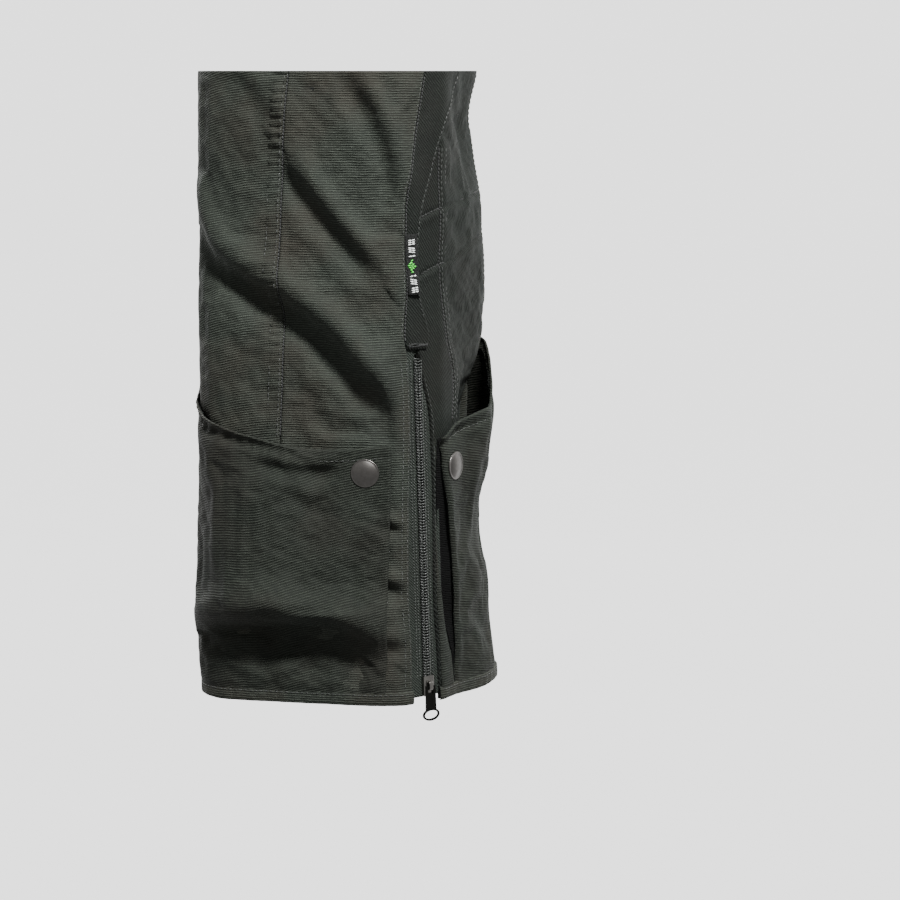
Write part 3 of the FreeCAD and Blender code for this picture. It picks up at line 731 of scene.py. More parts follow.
def woven(name, dark, light, tint, rib=1.4, thread=1.0, depth=0.4, contrast=1.0, sheen=0.04, rough=0.75):
    """Ribbed woven cloth: ribs across, finer threads down, and slow changes of colour."""
    material, tree, shader = start_material(name, Roughness=rough, Sheen_Weight=sheen, Sheen_Roughness=0.45)
    shader.inputs["Sheen Tint"].default_value = shade((0.75, 0.82, 0.76))
    shader.inputs["Specular IOR Level"].default_value = 0.12
    parts = weave_on(tree)
    place = place_on(tree)
    wander = noise(tree, place, 70.0, 2.0)
    slow = noise(tree, place, 16.0, 3.0)
    fuzz = noise(tree, place, 1900.0, 2.0)
    turn = 2 * math.pi
    ribs = wave_of(tree, parts[1], turn / (rib * MM), sum_of(tree, "MULTIPLY", wander, 5.0))
    columns = wave_of(tree, parts[0], turn / (thread * MM), sum_of(tree, "MULTIPLY", wander, 9.0))
    cross = sum_of(tree, "MULTIPLY", ribs, sum_of(tree, "MULTIPLY_ADD", columns, 0.3, 0.7))
    along = sum_of(tree, "MULTIPLY", parts[0], 260.0)
    down = sum_of(tree, "MULTIPLY", parts[1], 1.15 / (rib * MM))
    slub = noise(tree, node(tree, "ShaderNodeCombineXYZ", ((0, along), (1, down))).outputs[0], 1.0, 2.0)
    cross = sum_of(tree, "MULTIPLY", cross, remap(tree, slub, 0.33, 0.67, 0.3, 1.25))
    height = sum_of(tree, "MULTIPLY_ADD", fuzz, 0.35, cross)
    lit = sum_of(tree, "MULTIPLY_ADD", cross, 0.85 * contrast, sum_of(tree, "MULTIPLY", fuzz, 0.3))
    base = mix(tree, lit, shade(dark), shade(light))
    base = mix(tree, remap(tree, slow, 0.42, 0.66, 0.0, 0.5), base, shade(tint))
    worn = remap(tree, wander, 0.3, 0.75, 0.86, 1.12)
    scale = node(tree, "ShaderNodeCombineXYZ", ((0, worn), (1, worn), (2, worn))).outputs[0]
    base = mix(tree, 1.0, base, scale, "MULTIPLY")
    link(tree, base, shader.inputs["Base Color"])
    add_bump(tree, shader, height, depth * MM)
    return material


def knit(name, dark, light, pitch, depth=0.2, rough=0.85, sheen=0.2):
    """Fine knitted or fibrous cloth."""
    material, tree, shader = start_material(name, Roughness=rough, Sheen_Weight=sheen)
    parts = weave_on(tree)
    place = place_on(tree)
    rate = 2 * math.pi / (pitch * MM)
    wander = noise(tree, place, 120.0, 2.0)
    across = sum_of(tree, "SINE", sum_of(tree, "MULTIPLY", parts[0], rate))
    drift = sum_of(tree, "MULTIPLY", wander, 4.0)
    down = sum_of(tree, "SINE", sum_of(tree, "MULTIPLY_ADD", parts[1], rate, drift))
    cells = sum_of(tree, "MULTIPLY_ADD", sum_of(tree, "MULTIPLY", across, down), 0.5, 0.5)
    fuzz = noise(tree, place, 1400.0, 3.0)
    height = sum_of(tree, "MULTIPLY_ADD", fuzz, 0.6, cells)
    lit = sum_of(tree, "MULTIPLY", height, 0.7)
    link(tree, mix(tree, lit, shade(dark), shade(light)), shader.inputs["Base Color"])
    add_bump(tree, shader, height, depth * MM)
    return material


def metal(name, colour, dull, rough, scratch):
    """Plated metal with fine wear in its colour and gloss."""
    material, tree, shader = start_material(name, Metallic=1.0)
    place = place_on(tree)
    cloud = noise(tree, place, 420.0, 4.0)
    fine = noise(tree, place, 3200.0, 2.0)
    link(tree, mix(tree, cloud, shade(colour), shade(dull)), shader.inputs["Base Color"])
    link(tree, remap(tree, cloud, 0.0, 1.0, rough - 0.06, rough + 0.12), shader.inputs["Roughness"])
    add_bump(tree, shader, fine, scratch * MM, 0.5)
    return material


def filament(name, colour, shine, rough=0.42):
    """Nylon or polyester thread."""
    material, tree, shader = start_material(name, Roughness=rough, Sheen_Weight=0.15)
    place = place_on(tree)
    twist = noise(tree, place, 2600.0, 1.0)
    link(tree, mix(tree, twist, shade(colour), shade(shine)), shader.inputs["Base Color"])
    add_bump(tree, shader, twist, 0.05 * MM, 0.6)
    return material


SHELL = woven("shell_cloth", (0.0040, 0.0050, 0.0037), (0.036, 0.042, 0.034), (0.022, 0.017, 0.013))
CALF = woven("calf_cloth", (0.0022, 0.0028, 0.0022), (0.013, 0.016, 0.013), (0.008, 0.007, 0.006),
             contrast=0.85, sheen=0.02)
POCKET = woven("pocket_cloth", (0.0028, 0.0036, 0.0027), (0.024, 0.028, 0.022), (0.013, 0.011, 0.009),
               rib=1.5, sheen=0.02)
FACING = woven("facing_cloth", (0.0020, 0.0024, 0.0020), (0.010, 0.011, 0.010), (0.006, 0.006, 0.005),
               rib=1.1)
# Near-black cloth for the pockets' bellows folds: painted shade, so the folds read black even where the lamps
# reach into them.
FOLD_PAINTED_SHADE = woven("fold_painted_shade_cloth", (0.0005, 0.0006, 0.0005), (0.0022, 0.0024, 0.0022), (0.001, 0.001, 0.001), rib=1.1,
             sheen=0.0, rough=0.9)
LINING = knit("lining_cloth", (0.009, 0.010, 0.009), (0.036, 0.040, 0.038), 1.6)
PAD = knit("pad_fibre", (0.42, 0.36, 0.18), (0.78, 0.72, 0.48), 2.2, depth=0.35)
TAPE = woven("tape_weave", (0.0035, 0.0045, 0.0038), (0.034, 0.041, 0.034), (0.012, 0.013, 0.011), rib=1.2)
COIL = filament("nylon_coil", (0.004, 0.005, 0.004), (0.015, 0.018, 0.015), 0.4)
THREAD = filament("sewing_thread", (0.005, 0.006, 0.005), (0.020, 0.023, 0.019), 0.6)
# Near-black thread: the bar tack's own thread colour, and along the seams a painted shade line in the seam
# grooves.
DARK_THREAD_AND_SEAM_SHADE = filament("dark_thread_and_seam_shade", (0.0015, 0.0018, 0.0014), (0.004, 0.005, 0.004), 0.8)
ZIP_THREAD = filament("zip_thread", (0.010, 0.012, 0.010), (0.032, 0.037, 0.032), 0.6)
TAB = woven("tab_weave", (0.004, 0.004, 0.004), (0.018, 0.019, 0.018), (0.007, 0.007, 0.007),
            rib=0.6, thread=0.6)
PALE_THREAD = filament("pale_thread", (0.42, 0.44, 0.42), (0.66, 0.67, 0.66), 0.5)
GREEN_THREAD = filament("green_thread", (0.03, 0.34, 0.02), (0.06, 0.50, 0.05), 0.5)
NICKEL = metal("polished_nickel", (0.30, 0.29, 0.27), (0.13, 0.125, 0.12), 0.20, 0.01)
# Near-black metal for the puller and zip stops: its colour is a painted dark reflection.
NICKEL_PAINTED_DARK = metal("nickel_painted_dark_reflection", (0.022, 0.022, 0.020), (0.010, 0.010, 0.009), 0.3, 0.01)
GUNMETAL = metal("gunmetal", (0.13, 0.125, 0.12), (0.065, 0.06, 0.055), 0.34, 0.03)
STEEL = metal("stud_steel", (0.42, 0.41, 0.39), (0.28, 0.27, 0.26), 0.32, 0.02)


# --- shell panels


def pins_for(left, right, top, base, margin=5.0):
    """How firmly a panel's cloth is held: fully at its edges and hardware, not at all in its middle."""

    def held(s, d):
        side = np.minimum(s - left(d), right(d) - s)
        end = np.minimum(d - top(s), base(s) - d)
        firm = 1 - ease((np.minimum(side, end) - 1.0) / margin)
        return np.clip(np.maximum(firm, 1 - calm(s, d)), 0, 1)

    return held


def buckling(left, right, top, base, swell, most):
    """The move that cloth simulation gives a panel."""
    held = pins_for(left, right, top, base)

    def move(outer, s, d):
        return settle(outer, held(s, d), swell, most)

    return move


ALONG_TOP = constant(0.0)
ALONG_HEM = constant(LEG)
POCKET_BASE = constant(HEM + 1.5)


def on_flap(obj):
    """Bakes the piece's transform into its mesh."""
    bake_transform(obj)


def strip_lift(s, d):
    """The side band lies over the calf cloth, so it stands higher towards its free edge."""
    share = (s - side_seam(d)) / np.maximum(band_edge(d) - side_seam(d), 1.0)
    stitched = 0.4 * hump((band_edge(d) - s - 1.2) / 1.0)
    return shell_face(s, d) * 0.9 + 0.15 + 1.1 * ease(share * 1.4) + stitched


def calf_aft_left(d):
    return np.where(d < 40, calf_edge(np.minimum(d, 40)), calf_seam(d))


def shell_panels():
    calf_nodes = ("calf_panel_upper", "calf_panel_lower")
    panels = (
        ("front_shell", ("front_panel",), constant(0.15), front_seam, ALONG_TOP, ALONG_HEM, 0.012,
         dict(bias=sag, dips=(0.9, 1.5, 0.3, 0.3))),
        ("side_shell", ("outer_side_panel",), front_seam, side_seam, ALONG_TOP, ALONG_HEM, 0.014,
         dict(dips=(1.3, 1.5, 0.3, 0.3), step=1.5)),
        ("side_band", ("side_strip",), side_seam, band_edge, ALONG_TOP, constant(VENT_TOP + 1), 0,
         dict(material=CALF, grain=-52, face=strip_lift, dips=(0.9, 0.7, 0.3, 0.8), step=1.3)),
        ("calf_shell_fore", calf_nodes, calf_edge, calf_seam, constant(41), ALONG_HEM, 0,
         dict(material=CALF, grain=-58, dips=(1.5, 1.5, 0.3, 0.3), step=1.3)),
        ("calf_shell_aft", calf_nodes, calf_aft_left, constant(HINGE - 0.2), ALONG_TOP, ALONG_HEM, 0.012,
         dict(material=CALF, grain=-64, dips=(1.5, 0.9, 0.3, 0.3), step=1.4)),
        ("back_shell", ("inner_leg_panel",), constant(HINGE + 0.2), constant(ROUND - 0.15), ALONG_TOP,
         ALONG_HEM, 0.016, dict(step=2.4)),
    )
    for name, nodes, left, right, top, base, swell, look in panels:
        face = look.pop("face", shell_face)
        material = look.pop("material", SHELL)
        if swell:
            look["move"] = buckling(left, right, top, base, swell, 2.4)
        obj = panel(name, left, right, top, base, face, material, **look)
        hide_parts(*nodes)
        if name.startswith("calf"):
            on_flap(obj)
        else:
            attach(obj, "leg")


# --- facings, linings and the pad


def layer(name, span, drops, out, thick, material, cad_node, slot, body="leg"):
    """An inner layer of cloth, parallel to the shell. body is flap where its transform is only baked; any
    other body is the one it is attached to.
    """

    def face(s, d):
        return folds(s, d) + hollows(s, d) + out

    edges = [constant(value) for value in (*span, *drops)]
    obj = panel(name, *edges, face, material, thick=thick, step=4.0, dips=FLAT)
    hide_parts(cad_node)
    if body == "flap":
        on_flap(obj)
    else:
        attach(obj, body)


def inner_layers():
    vent = 183.0
    front = front_seam(100)
    behind = -2.9
    calf = (vent + 14, HINGE - 0.5)
    whole = (6, 368)
    turned = (353, 373.4)
    for name, span, drops, body in (
        ("top_facing", (0, ROUND - 0.1), (0.3, 22), "leg"),
        ("hem_facing_front", (0, vent - 13), turned, "leg"),
        ("hem_facing_calf", calf, turned, "vent_flap"),
        ("hem_facing_back", (HINGE + 0.5, ROUND - 0.3), turned, "leg"),
    ):
        layer(f"{name}_cloth", span, drops, -CLOTH - 0.15, 0.7, FACING, name, "shell_cloth", body)
    for name, span, drops, out, cad_node, body in (
        ("side_lining", (front + 0.5, vent - 13), whole, behind, "side_lining", "leg"),
        ("vent_lining", (vent - 12.5, HINGE - 0.5), (6, 160), behind, "vent_lining", "leg"),
        ("calf_lining", calf, (160.4, 368), behind, "calf_lining_lower", "flap"),
        ("back_lining", (HINGE + 0.5, ROUND - 0.5), whole, behind, "back_lining", "leg"),
        ("pad_lining", (0.5, front), whole, behind - 4.7, "pad_lining", "leg"),
    ):
        layer(f"{name}_cloth", span, drops, out, 0.6, LINING, cad_node, "lining_cloth", body)
    for index in range(4):
        drops = (9 + 0.8 * index, 364 - index)
        layer(f"cut_layer_{index + 1}", (1.0, front - 1), drops, behind - index * 1.15, 0.95, PAD,
              f"cut_pad_layer_{index + 1}", "pad_fibre")


# --- hem bands


def hem_lift(s, d):
    front = ease((s - 9) / 6) - ease((s - 157) / 7)
    rear = ease((s - 187) / 7) - ease((s - 276) / 8)
    under = 0.8 + 0.75 * front + 0.6 * rear
    crease = 0.12 * np.sin(2 * math.pi * s / 7.3 + 1.2 * np.sin(s / 13.0)) + 0.1 * np.sin(s / 2.9)
    swell = 0.35 * hump((d - 371) / 3.2)
    return folds(s, np.full_like(d, 370.0)) + under + 0.1 + (crease + swell) * ease((d - 365) / 3)


def hem_bands():
    for name, left, right, body in (
        ("hem_band_front", constant(0.05), lambda d: side_seam(d) + 0.2, "leg"),
        ("hem_band_calf", lambda d: calf_edge(d) - 0.2, constant(HINGE - 0.02), "vent_flap"),
        ("hem_band_back", constant(HINGE + 0.02), constant(ROUND - 0.05), "leg"),
    ):
        obj = panel(name, left, right, constant(366.4), constant(374.6), hem_lift, SHELL, step=1.2,
                    thick=0.7, dips=(0.2, 0.2, 0.6, 1.4))
        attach(obj, body)


# --- pockets


def pocket_cloth(cloth, *cad_nodes, rests_on):
    """Hides the CAD nodes that a visible piece of a pocket replaces."""
    if cad_nodes:
        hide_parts(*cad_nodes)


def mouth_band(name, left, right, mouth, deep, face, step):
    """The turned-in band behind a pocket's mouth."""

    def behind(s, d):
        return face(s, d) - CLOTH - 0.1

    return panel(name, left, right, lambda s: mouth(s) + 0.3, lambda s: mouth(s) + deep, behind, FACING,
                 step=step, thick=0.6, dips=FLAT)


def front_pocket():
    left = constant(FRONT_START)
    cloth = panel("front_pocket_cloth", left, front_end, front_mouth, POCKET_BASE, front_pocket_face, POCKET,
                  step=1.5, dips=(0.6, 1.7, 0.9, 0.2), bias=belly_sag,
                  move=buckling(left, front_end, front_mouth, POCKET_BASE, 0.02, 3.0))
    band = mouth_band("front_pocket_band", constant(30), lambda d: front_end(d) - 2.5, front_mouth, 24,
                      front_pocket_face, 2.2)
    under = ["front_shell", "side_shell"]
    pocket_cloth(cloth, "front_pocket_panel", "front_pocket_floor", rests_on=under)
    pocket_cloth(band, "front_pocket_mouth_band", rests_on=under)
    for piece in (cloth, band):
        front_blend(piece)
    crest = float(front_mouth(161.0)) + 2
    fold = gusset("front_pocket_gusset", front_end, -1, front_pocket_face, crest, front_end)
    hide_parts("front_pocket_fold")
    hinge_fold(fold, 160.0)


def rear_pocket():
    right = constant(REAR_SPLIT)
    cloth = panel("rear_pocket_cloth", rear_start, right, rear_mouth, POCKET_BASE, rear_pocket_face, POCKET,
                  step=1.4, dips=(1.6, 0, 0.9, 0.2), grain=-12,
                  move=buckling(rear_start, right, rear_mouth, POCKET_BASE, 0.02, 1.6))
    band = mouth_band("rear_pocket_band", lambda d: rear_start(d) + 1.2, right, rear_mouth, 22,
                      rear_pocket_face, 2.0)
    pocket_cloth(cloth, "rear_pocket_panel", "rear_pocket_floor", rests_on=["calf_shell_aft"])
    pocket_cloth(band, "rear_pocket_mouth_band", rests_on=["calf_shell_aft"])
    for piece in (cloth, band):
        rear_blend(piece)
    back = panel("rear_pocket_side", right, constant(REAR_END), rear_mouth, POCKET_BASE, rear_pocket_face,
                 POCKET, step=1.6, dips=(0, 0.6, 0.9, 0.2), grain=-12)
    pocket_cloth(back, rests_on=["back_shell"])
    blend_place(REAR_END)
    blend_place(REAR_SPLIT + 1)
    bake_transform(back)
    fold = gusset("rear_pocket_gusset", rear_start, 1, rear_pocket_face, 214.5, groove)
    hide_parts("rear_pocket_fold")
    hinge_fold(fold, 197.0)
    strip = panel("rear_pocket_strip", lambda d: calf_edge(d) + 1.4, lambda d: groove(d) + 0.8, strip_top,
                  POCKET_BASE, strip_face, POCKET, step=1.2, dips=(0.6, 0.3, 0.7, 0.2))
    pocket_cloth(strip, rests_on=["calf_shell_fore"])
    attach(strip, "vent_flap")


strip_top = smooth_line((186, 204), (188, 208), (190, 212.5), (193, 217))


def strip_face(s, d):
    """Height of the narrow pocket strip between the zip and the rear pocket's fold."""
    drop = 1.2 * ease((s - groove(d) + 2.4) / 2.4)
    return folds(s, d) + hollows(s, d) + CLOTH + 0.5 - drop + 0.2 * mouth_shape(s, d - 213, 0.6)


def front_blend(obj):
    """Bakes the front pocket piece's transform into its mesh."""
    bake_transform(obj)


def blend_place(s):
    """A place round the leg in metres, 300 mm below the top."""
    return outline.at(s, 300.0, 0.0) * MM


def rear_blend(obj):
    """Works out two places round the leg, which are not used, and bakes the rear pocket piece's transform
    into its mesh.
    """
    blend_place(REAR_SPLIT - 1)
    blend_place(240.0)
    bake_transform(obj)


def gusset(name, edge, side, face, top, foot):
    """The bellows fold that joins a pocket's standing edge to the leg at its foot, in near-black cloth that
    is painted shade.
    """
    d = np.linspace(top, HEM, 90)[:, None]
    along = np.linspace(0, 1, 9)[None, :]
    edge_s = edge(d)
    high = face(edge_s, d) - 1.7 - CLOTH
    low = folds(edge_s, d) + hollows(foot(d) + 2.0, d) + 0.2
    room = 1 - 0.82 * hump((d - REAR_SNAP[1]) / 16)
    deep = 4.0 * room * np.clip((high - low) / 3, 0.1, 1)
    s = edge_s + (foot(d) - edge_s) * ease(along) + side * (0.6 + deep * np.sin(math.pi * along) ** 2)
    floor = folds(s, d) + hollows(s, d) + 0.8
    out = np.maximum(high + (low - high) * along, np.minimum(floor, high))
    outer = outline.at(s, d, out)
    inner = outline.at(s + side * 0.4, d, out - 0.35)
    s_grid, d_grid = np.broadcast_arrays(s, d)
    obj = closed_sheet(name, outer, inner, turned_uv(s_grid, d_grid, 0), FOLD_PAINTED_SHADE)
    return obj


def hinge_fold(obj, s):
    """Works out the fold's base and crest places, which are not used, and bakes the fold's transform into its
    mesh.
    """
    start = outline.at(s, 290.0, 0.3) * MM
    end = outline.at(s, 290.0, 2.2) * MM
    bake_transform(obj)


# --- stitching


# each ring of a stitch: its share of the length, its thickness and its height off the cloth
STITCH_RINGS = [(-0.5, 0.35, -0.9), (-0.36, 0.9, 0.1), (0.0, 1.0, 0.45), (0.36, 0.9, 0.1), (0.5, 0.35, -0.9)]


def point_on(path, reach, distance):
    """The point that far along a path, where reach says how far along each of its points is."""
    return np.array([np.interp(distance, reach, path[:, axis]) for axis in range(3)])


def stitches(name, lines, radius=0.24, length=2.3, gap=0.9, material=THREAD):
    """Rows of sewn thread. Each line is a list of points in millimetres on the cloth and outward normals."""
    sides = 6
    points, faces = [], []
    for path, normal in lines:
        steps = np.linalg.norm(np.diff(path, axis=0), axis=1)
        reach = np.concatenate([[0], np.cumsum(steps)])
        for middle in np.arange(length / 2 + 0.3, reach[-1] - length / 2, length + gap):
            here = point_on(path, reach, middle)
            out = point_on(normal, reach, middle)
            out /= np.linalg.norm(out)
            run = point_on(path, reach, middle + 0.6) - point_on(path, reach, middle - 0.6)
            run /= max(np.linalg.norm(run), 1e-9)
            across = np.cross(run, out)
            first = len(points)
            for share, size, rise in STITCH_RINGS:
                centre = here + run * share * length + out * rise * radius
                for side in range(sides):
                    angle = 2 * math.pi * side / sides
                    points.append(centre + radius * size * (across * math.cos(angle) + out * math.sin(angle)))
            for ring in range(len(STITCH_RINGS) - 1):
                for side in range(sides):
                    a = first + ring * sides + side
                    b = first + ring * sides + (side + 1) % sides
                    faces.append([a, b, b + sides, a + sides])
            faces.append([first + side for side in reversed(range(sides))])
            last = first + (len(STITCH_RINGS) - 1) * sides
            faces.append([last + side for side in range(sides)])
    obj = mesh_object(name, np.array(points), faces, material)
    return obj


def row(s, d, face, lift=0.0):
    """A stitch line along arrays of s and d, on a face."""
    s, d = paired(s, d)
    points = outline.at(s, d, face(s, d) + lift)
    _, _, nx, ny = outline.place(s)
    return points, np.stack([nx, ny, np.zeros_like(nx)], axis=-1)


def dark_thread_and_seam_shade(name, lines):
    """Dark thread sunk along a seam, with no gaps: painted shade in the seam's groove."""
    return stitches(name, lines, radius=0.4, length=2.2, gap=0.0, material=DARK_THREAD_AND_SEAM_SHADE)


def hem_row(start, end, count):
    return row(np.linspace(start, end, count), np.full(count, HEM_STITCH), hem_lift)


def stitching():
    down = np.linspace(2, 372, 260)
    upper = down[down < 214]
    above = np.linspace(3, 156, 110)
    below = np.linspace(168, 365, 130)
    fixed = [row(edge(at) + shift, at, face) for edge, shift, at, face in (
        (front_seam, -8, upper, shell_face),
        (front_seam, -1.7, upper, shell_face),
        (side_seam, -1.8, above, shell_face),
        (band_edge, -1.7, above[:-8], strip_lift),
        (side_seam, -1.7, below, shell_face),
        (side_seam, -5.1, below, shell_face),
        (constant(6.0), 0, down, shell_face),
        (constant(HINGE), 2.0, down, shell_face),
        (constant(HINGE), 8.0, down, shell_face),
    )]
    fixed += [hem_row(3, 172, 150), hem_row(HINGE + 3, ROUND - 3, 180)]
    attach(stitches("leg_topstitch", fixed), "leg")
    calf = np.linspace(44, 206, 120)
    lower = np.linspace(178, 365, 120)
    knee = np.linspace(182, HINGE - 1, 60)
    on_calf = [
        row(calf_seam(calf) + 1.8, calf, shell_face),
        row(calf_seam(calf) + 5.6, calf, shell_face),
        row(calf_edge(lower) + 1.5, lower, shell_face, 0.1),
    ]
    on_flap(stitches("calf_topstitch", on_calf))
    # The sunk dark lines along the seams are painted shade in their grooves.
    seams = [row(knee, line(knee), shell_face, 0.2) for line in (knee_seam_high, knee_seam_low)]
    seams.append(row(calf_seam(calf), calf, shell_face, -0.4))
    on_flap(dark_thread_and_seam_shade("calf_seam_shade_line", seams))
    # The sunk dark lines along the seams are painted shade in their grooves.
    seams = [row(front_seam(upper), upper, shell_face, -0.3), row(side_seam(above), above, shell_face, -0.3)]
    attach(dark_thread_and_seam_shade("leg_seam_shade_line", seams), "leg")
    across = hem_row(calf_edge(HEM_STITCH) + 2, HINGE - 3, 80)
    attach(stitches("calf_hem_topstitch", [across]), "vent_flap")
    across = np.linspace(24, 160, 150)
    mouth = row(across, front_mouth(across) + LIP, front_pocket_face, 0.1)
    front_blend(stitches("front_pocket_topstitch", [mouth]))
    across = np.linspace(199, 255, 80)
    mouth = row(across, rear_mouth(across) + LIP, rear_pocket_face, 0.1)
    rear_blend(stitches("rear_pocket_topstitch", [mouth]))


# --- zip


ZIP_HEADING = math.radians(33.0)
ZIP_TILT = math.radians(1.9)
zip_start = outline.at(183.0 - 3.9, 163.0, 0.0)
ZIP_IN = np.array([-math.sin(ZIP_HEADING), math.cos(ZIP_HEADING), 0.0])
LEVEL = np.array([math.cos(ZIP_HEADING), math.sin(ZIP_HEADING), 0.0])
ZIP_ACROSS = LEVEL * math.cos(ZIP_TILT) + np.array([0.0, 0.0, math.sin(ZIP_TILT)])
ZIP_UP = np.cross(ZIP_ACROSS, ZIP_IN)
COIL_LENGTH = 194.0
COIL_PITCH = 1.7


def in_zip(x, y, z):
    """Points in millimetres from the zip's own frame: across it, into the leg and up along it."""
    x, y, z = np.broadcast_arrays(np.asarray(x, float), y, z)
    return zip_start + x[..., None] * ZIP_ACROSS + y[..., None] * ZIP_IN + z[..., None] * ZIP_UP


def tube(path, across, radius, sides=6):
    """Points and faces of a round wire along a path. across is a steady direction off it."""
    run = np.gradient(path, axis=0)
    run /= np.linalg.norm(run, axis=1)[:, None]
    first = np.cross(run, across)
    first /= np.linalg.norm(first, axis=1)[:, None]
    second = np.cross(run, first)
    angles = 2 * math.pi * np.arange(sides) / sides
    ring = np.cos(angles)[None, :, None] * first[:, None] + np.sin(angles)[None, :, None] * second[:, None]
    points = path[:, None] + radius * ring
    index = np.arange(len(path) * sides).reshape(len(path), sides)
    faces = ring_faces(index) + [index[0].tolist(), index[-1][::-1].tolist()]
    return points.reshape(-1, 3), faces


def coil_half(name, side):
    """One half of the nylon coil: a flattened helix sewn to its tape."""
    turns = COIL_LENGTH / COIL_PITCH
    per_turn = 12
    angle = np.linspace(0, 2 * math.pi * turns, int(turns * per_turn))
    if side > 0:
        angle = angle + math.pi
    x = side * (0.95 + 1.5 * np.cos(angle) * 0.98)
    y = 0.62 - 0.85 * np.sin(angle)
    z = -3.0 - COIL_PITCH * (angle - angle[0]) / (2 * math.pi)
    if side > 0:
        z = z - COIL_PITCH / 2
    points, faces = tube(in_zip(x, y, z), ZIP_UP, 0.36)
    obj = mesh_object(name, points, faces, COIL)
    return obj


def tape(name, side):
    """One woven tape, with its cord edge and ribs."""
    z = np.linspace(12.0, -208.0, 220)[:, None]
    x = np.concatenate([[0.1, 0.7, 1.3, 1.8], np.linspace(2.4, 12.5, 20)])[None, :] * side
    ribs = 0.07 * np.sin(z * 2 * math.pi / 1.6 + side * x * 1.2)
    y = 1.75 + ribs - 0.35 * hump((np.abs(x) - 3.4) / 0.6) - 0.25 * hump((np.abs(x) - 5.6) / 0.5)
    outer = in_zip(x, y, z)
    inner = in_zip(x, y + 0.5, z)
    x_grid, z_grid = np.broadcast_arrays(x, z)
    obj = closed_sheet(name, outer, inner, turned_uv(x_grid, z_grid, 45), TAPE)
    return obj


def zip_rows(side):
    """Sewing on one half of the zip: through the coil and along the tape's edge."""
    z = np.linspace(-4, -196, 240)
    out = np.broadcast_to(-ZIP_IN, (len(z), 3))
    coil_row = (in_zip(np.full_like(z, 1.6 * side), -0.55, z), out)
    places = (-6.3, -4.4) if side < 0 else (4.7,)
    return [coil_row] + [(in_zip(np.full_like(z, place), 1.5, z), out) for place in places]


def zip_pieces():
    for word, side in (("front", -1), ("rear", 1)):
        band = tape(f"zip_{word}_tape_cloth", side)
        half = coil_half(f"zip_{word}_coil_wire", side)
        sewing = stitches(f"zip_{word}_sewing", zip_rows(side), radius=0.3, length=1.15, gap=0.75,
                          material=ZIP_THREAD)
        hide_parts(f"zip_tape_{word}")
        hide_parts(f"zip_coil_{word}")
        for piece in (band, half, sewing):
            if side > 0:
                on_flap(piece)
            else:
                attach(piece, "leg")


# --- snaps and other CAD hardware


def turned_piece(name, profile, s, d, material, segments=72):
    """A turned piece from (radius, height) points, standing on the leg at s and d."""
    x, y, nx, ny = (float(v) for v in outline.place(np.array(s)))
    centre = np.array([x, y, -d])
    normal = np.array([nx, ny, 0.0])
    side = np.array([-ny, nx, 0.0])
    up = np.array([0.0, 0.0, 1.0])
    angles = 2 * math.pi * np.arange(segments + 1) / segments
    radii, heights = np.array(profile, float).T
    rings = centre + heights[:, None, None] * normal
    rings = rings + radii[:, None, None] * (np.cos(angles)[:, None] * side + np.sin(angles)[:, None] * up)
    index = np.arange(len(profile) * segments).reshape(len(profile), segments)
    faces = ring_faces(index) + [index[0].tolist(), index[-1].tolist()]
    return mesh_object(name, rings[:, :-1].reshape(-1, 3), faces, material)


def cap_profile():
    """Half-section of the stud's cap: shank, turned rim and low dome."""
    seat, rim, dome = 4.45, 0.95, 2.7
    points = [(1.2, 2.6), (1.2, seat), (7.6, seat), (8.1, seat + 0.03)]
    for angle in np.linspace(-80, 80, 9):
        turn = math.radians(angle)
        points.append((8.05 + 0.45 * math.cos(turn), seat + 0.48 + 0.45 * math.sin(turn)))
    points.append((7.85, seat + rim))
    for share in np.linspace(1, 0.04, 20):
        height = seat + rim - 0.06 + (dome - rim) * (1 - share**2.2)
        points.append((7.7 * share, height))
    return points


def snap_caps():
    for word, (s, d), leaf, wall in (
        ("front", FRONT_SNAP, "front_pocket", "leg"),
        ("rear", REAR_SNAP, "rear_pocket", "vent_flap"),
    ):
        low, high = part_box(f"{word}_snap_cap")
        drop = -(low.z + high.z) / 2 / MM
        cap = turned_piece(f"{word}_snap_dome", cap_profile(), s, drop, GUNMETAL)
        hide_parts(f"{word}_snap_cap")
        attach(cap, leaf)
        edges = [constant(value) for value in (s - 10, s + 10, d - 10, d + 10)]
        patch = panel(f"{word}_snap_patch_cloth", *edges, lambda a, b: folds(a, b) - 1.1, FACING,
                      thick=0.7, step=2, dips=FLAT)
        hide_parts(f"{word}_snap_patch")
        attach(patch, wall)


def soften_edges(obj):
    """A small round on the edges of cast metal."""
    bevel = obj.modifiers.new("bevel", "BEVEL")
    bevel.width = 0.22 * MM
    bevel.segments = 3
    bevel.limit_method = "ANGLE"
    bevel.angle_limit = math.radians(40)
    bevel.harden_normals = False


def cad_metal():
    """Finishes for the metal pieces that stay as the CAD made them. The puller and zip stops get near-black
    metal, a painted dark reflection.
    """
    finishes_and_painted_reflection = {"slider_body": NICKEL, "zip_puller": NICKEL_PAINTED_DARK, "zip_top_stop": NICKEL_PAINTED_DARK}
    cast = tuple(finishes_and_painted_reflection)
    for word in ("front", "rear"):
        finishes_and_painted_reflection[f"zip_end_stop_{word}"] = NICKEL_PAINTED_DARK
        for kind in ("socket", "stud", "post"):
            finishes_and_painted_reflection[f"{word}_snap_{kind}"] = STEEL
    for name, material in finishes_and_painted_reflection.items():
        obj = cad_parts[name]
        obj.data.materials.clear()
        obj.data.materials.append(material)
        obj.modifiers.new("weld", "WELD").merge_threshold = 0.02 * MM
        if name in cast:
            soften_edges(obj)


# --- side tab and bar tack


def tab_face(s, d):
    curl = 0.8 * ease((d - 118) / 10) + 0.25 * np.sin(d / 5.0)
    return strip_lift(s, d) + 1.1 + 0.16 * (s - 174) + curl


tab_left = smooth_line((93, 170.4), (110, 171.0), (129, 172.2))


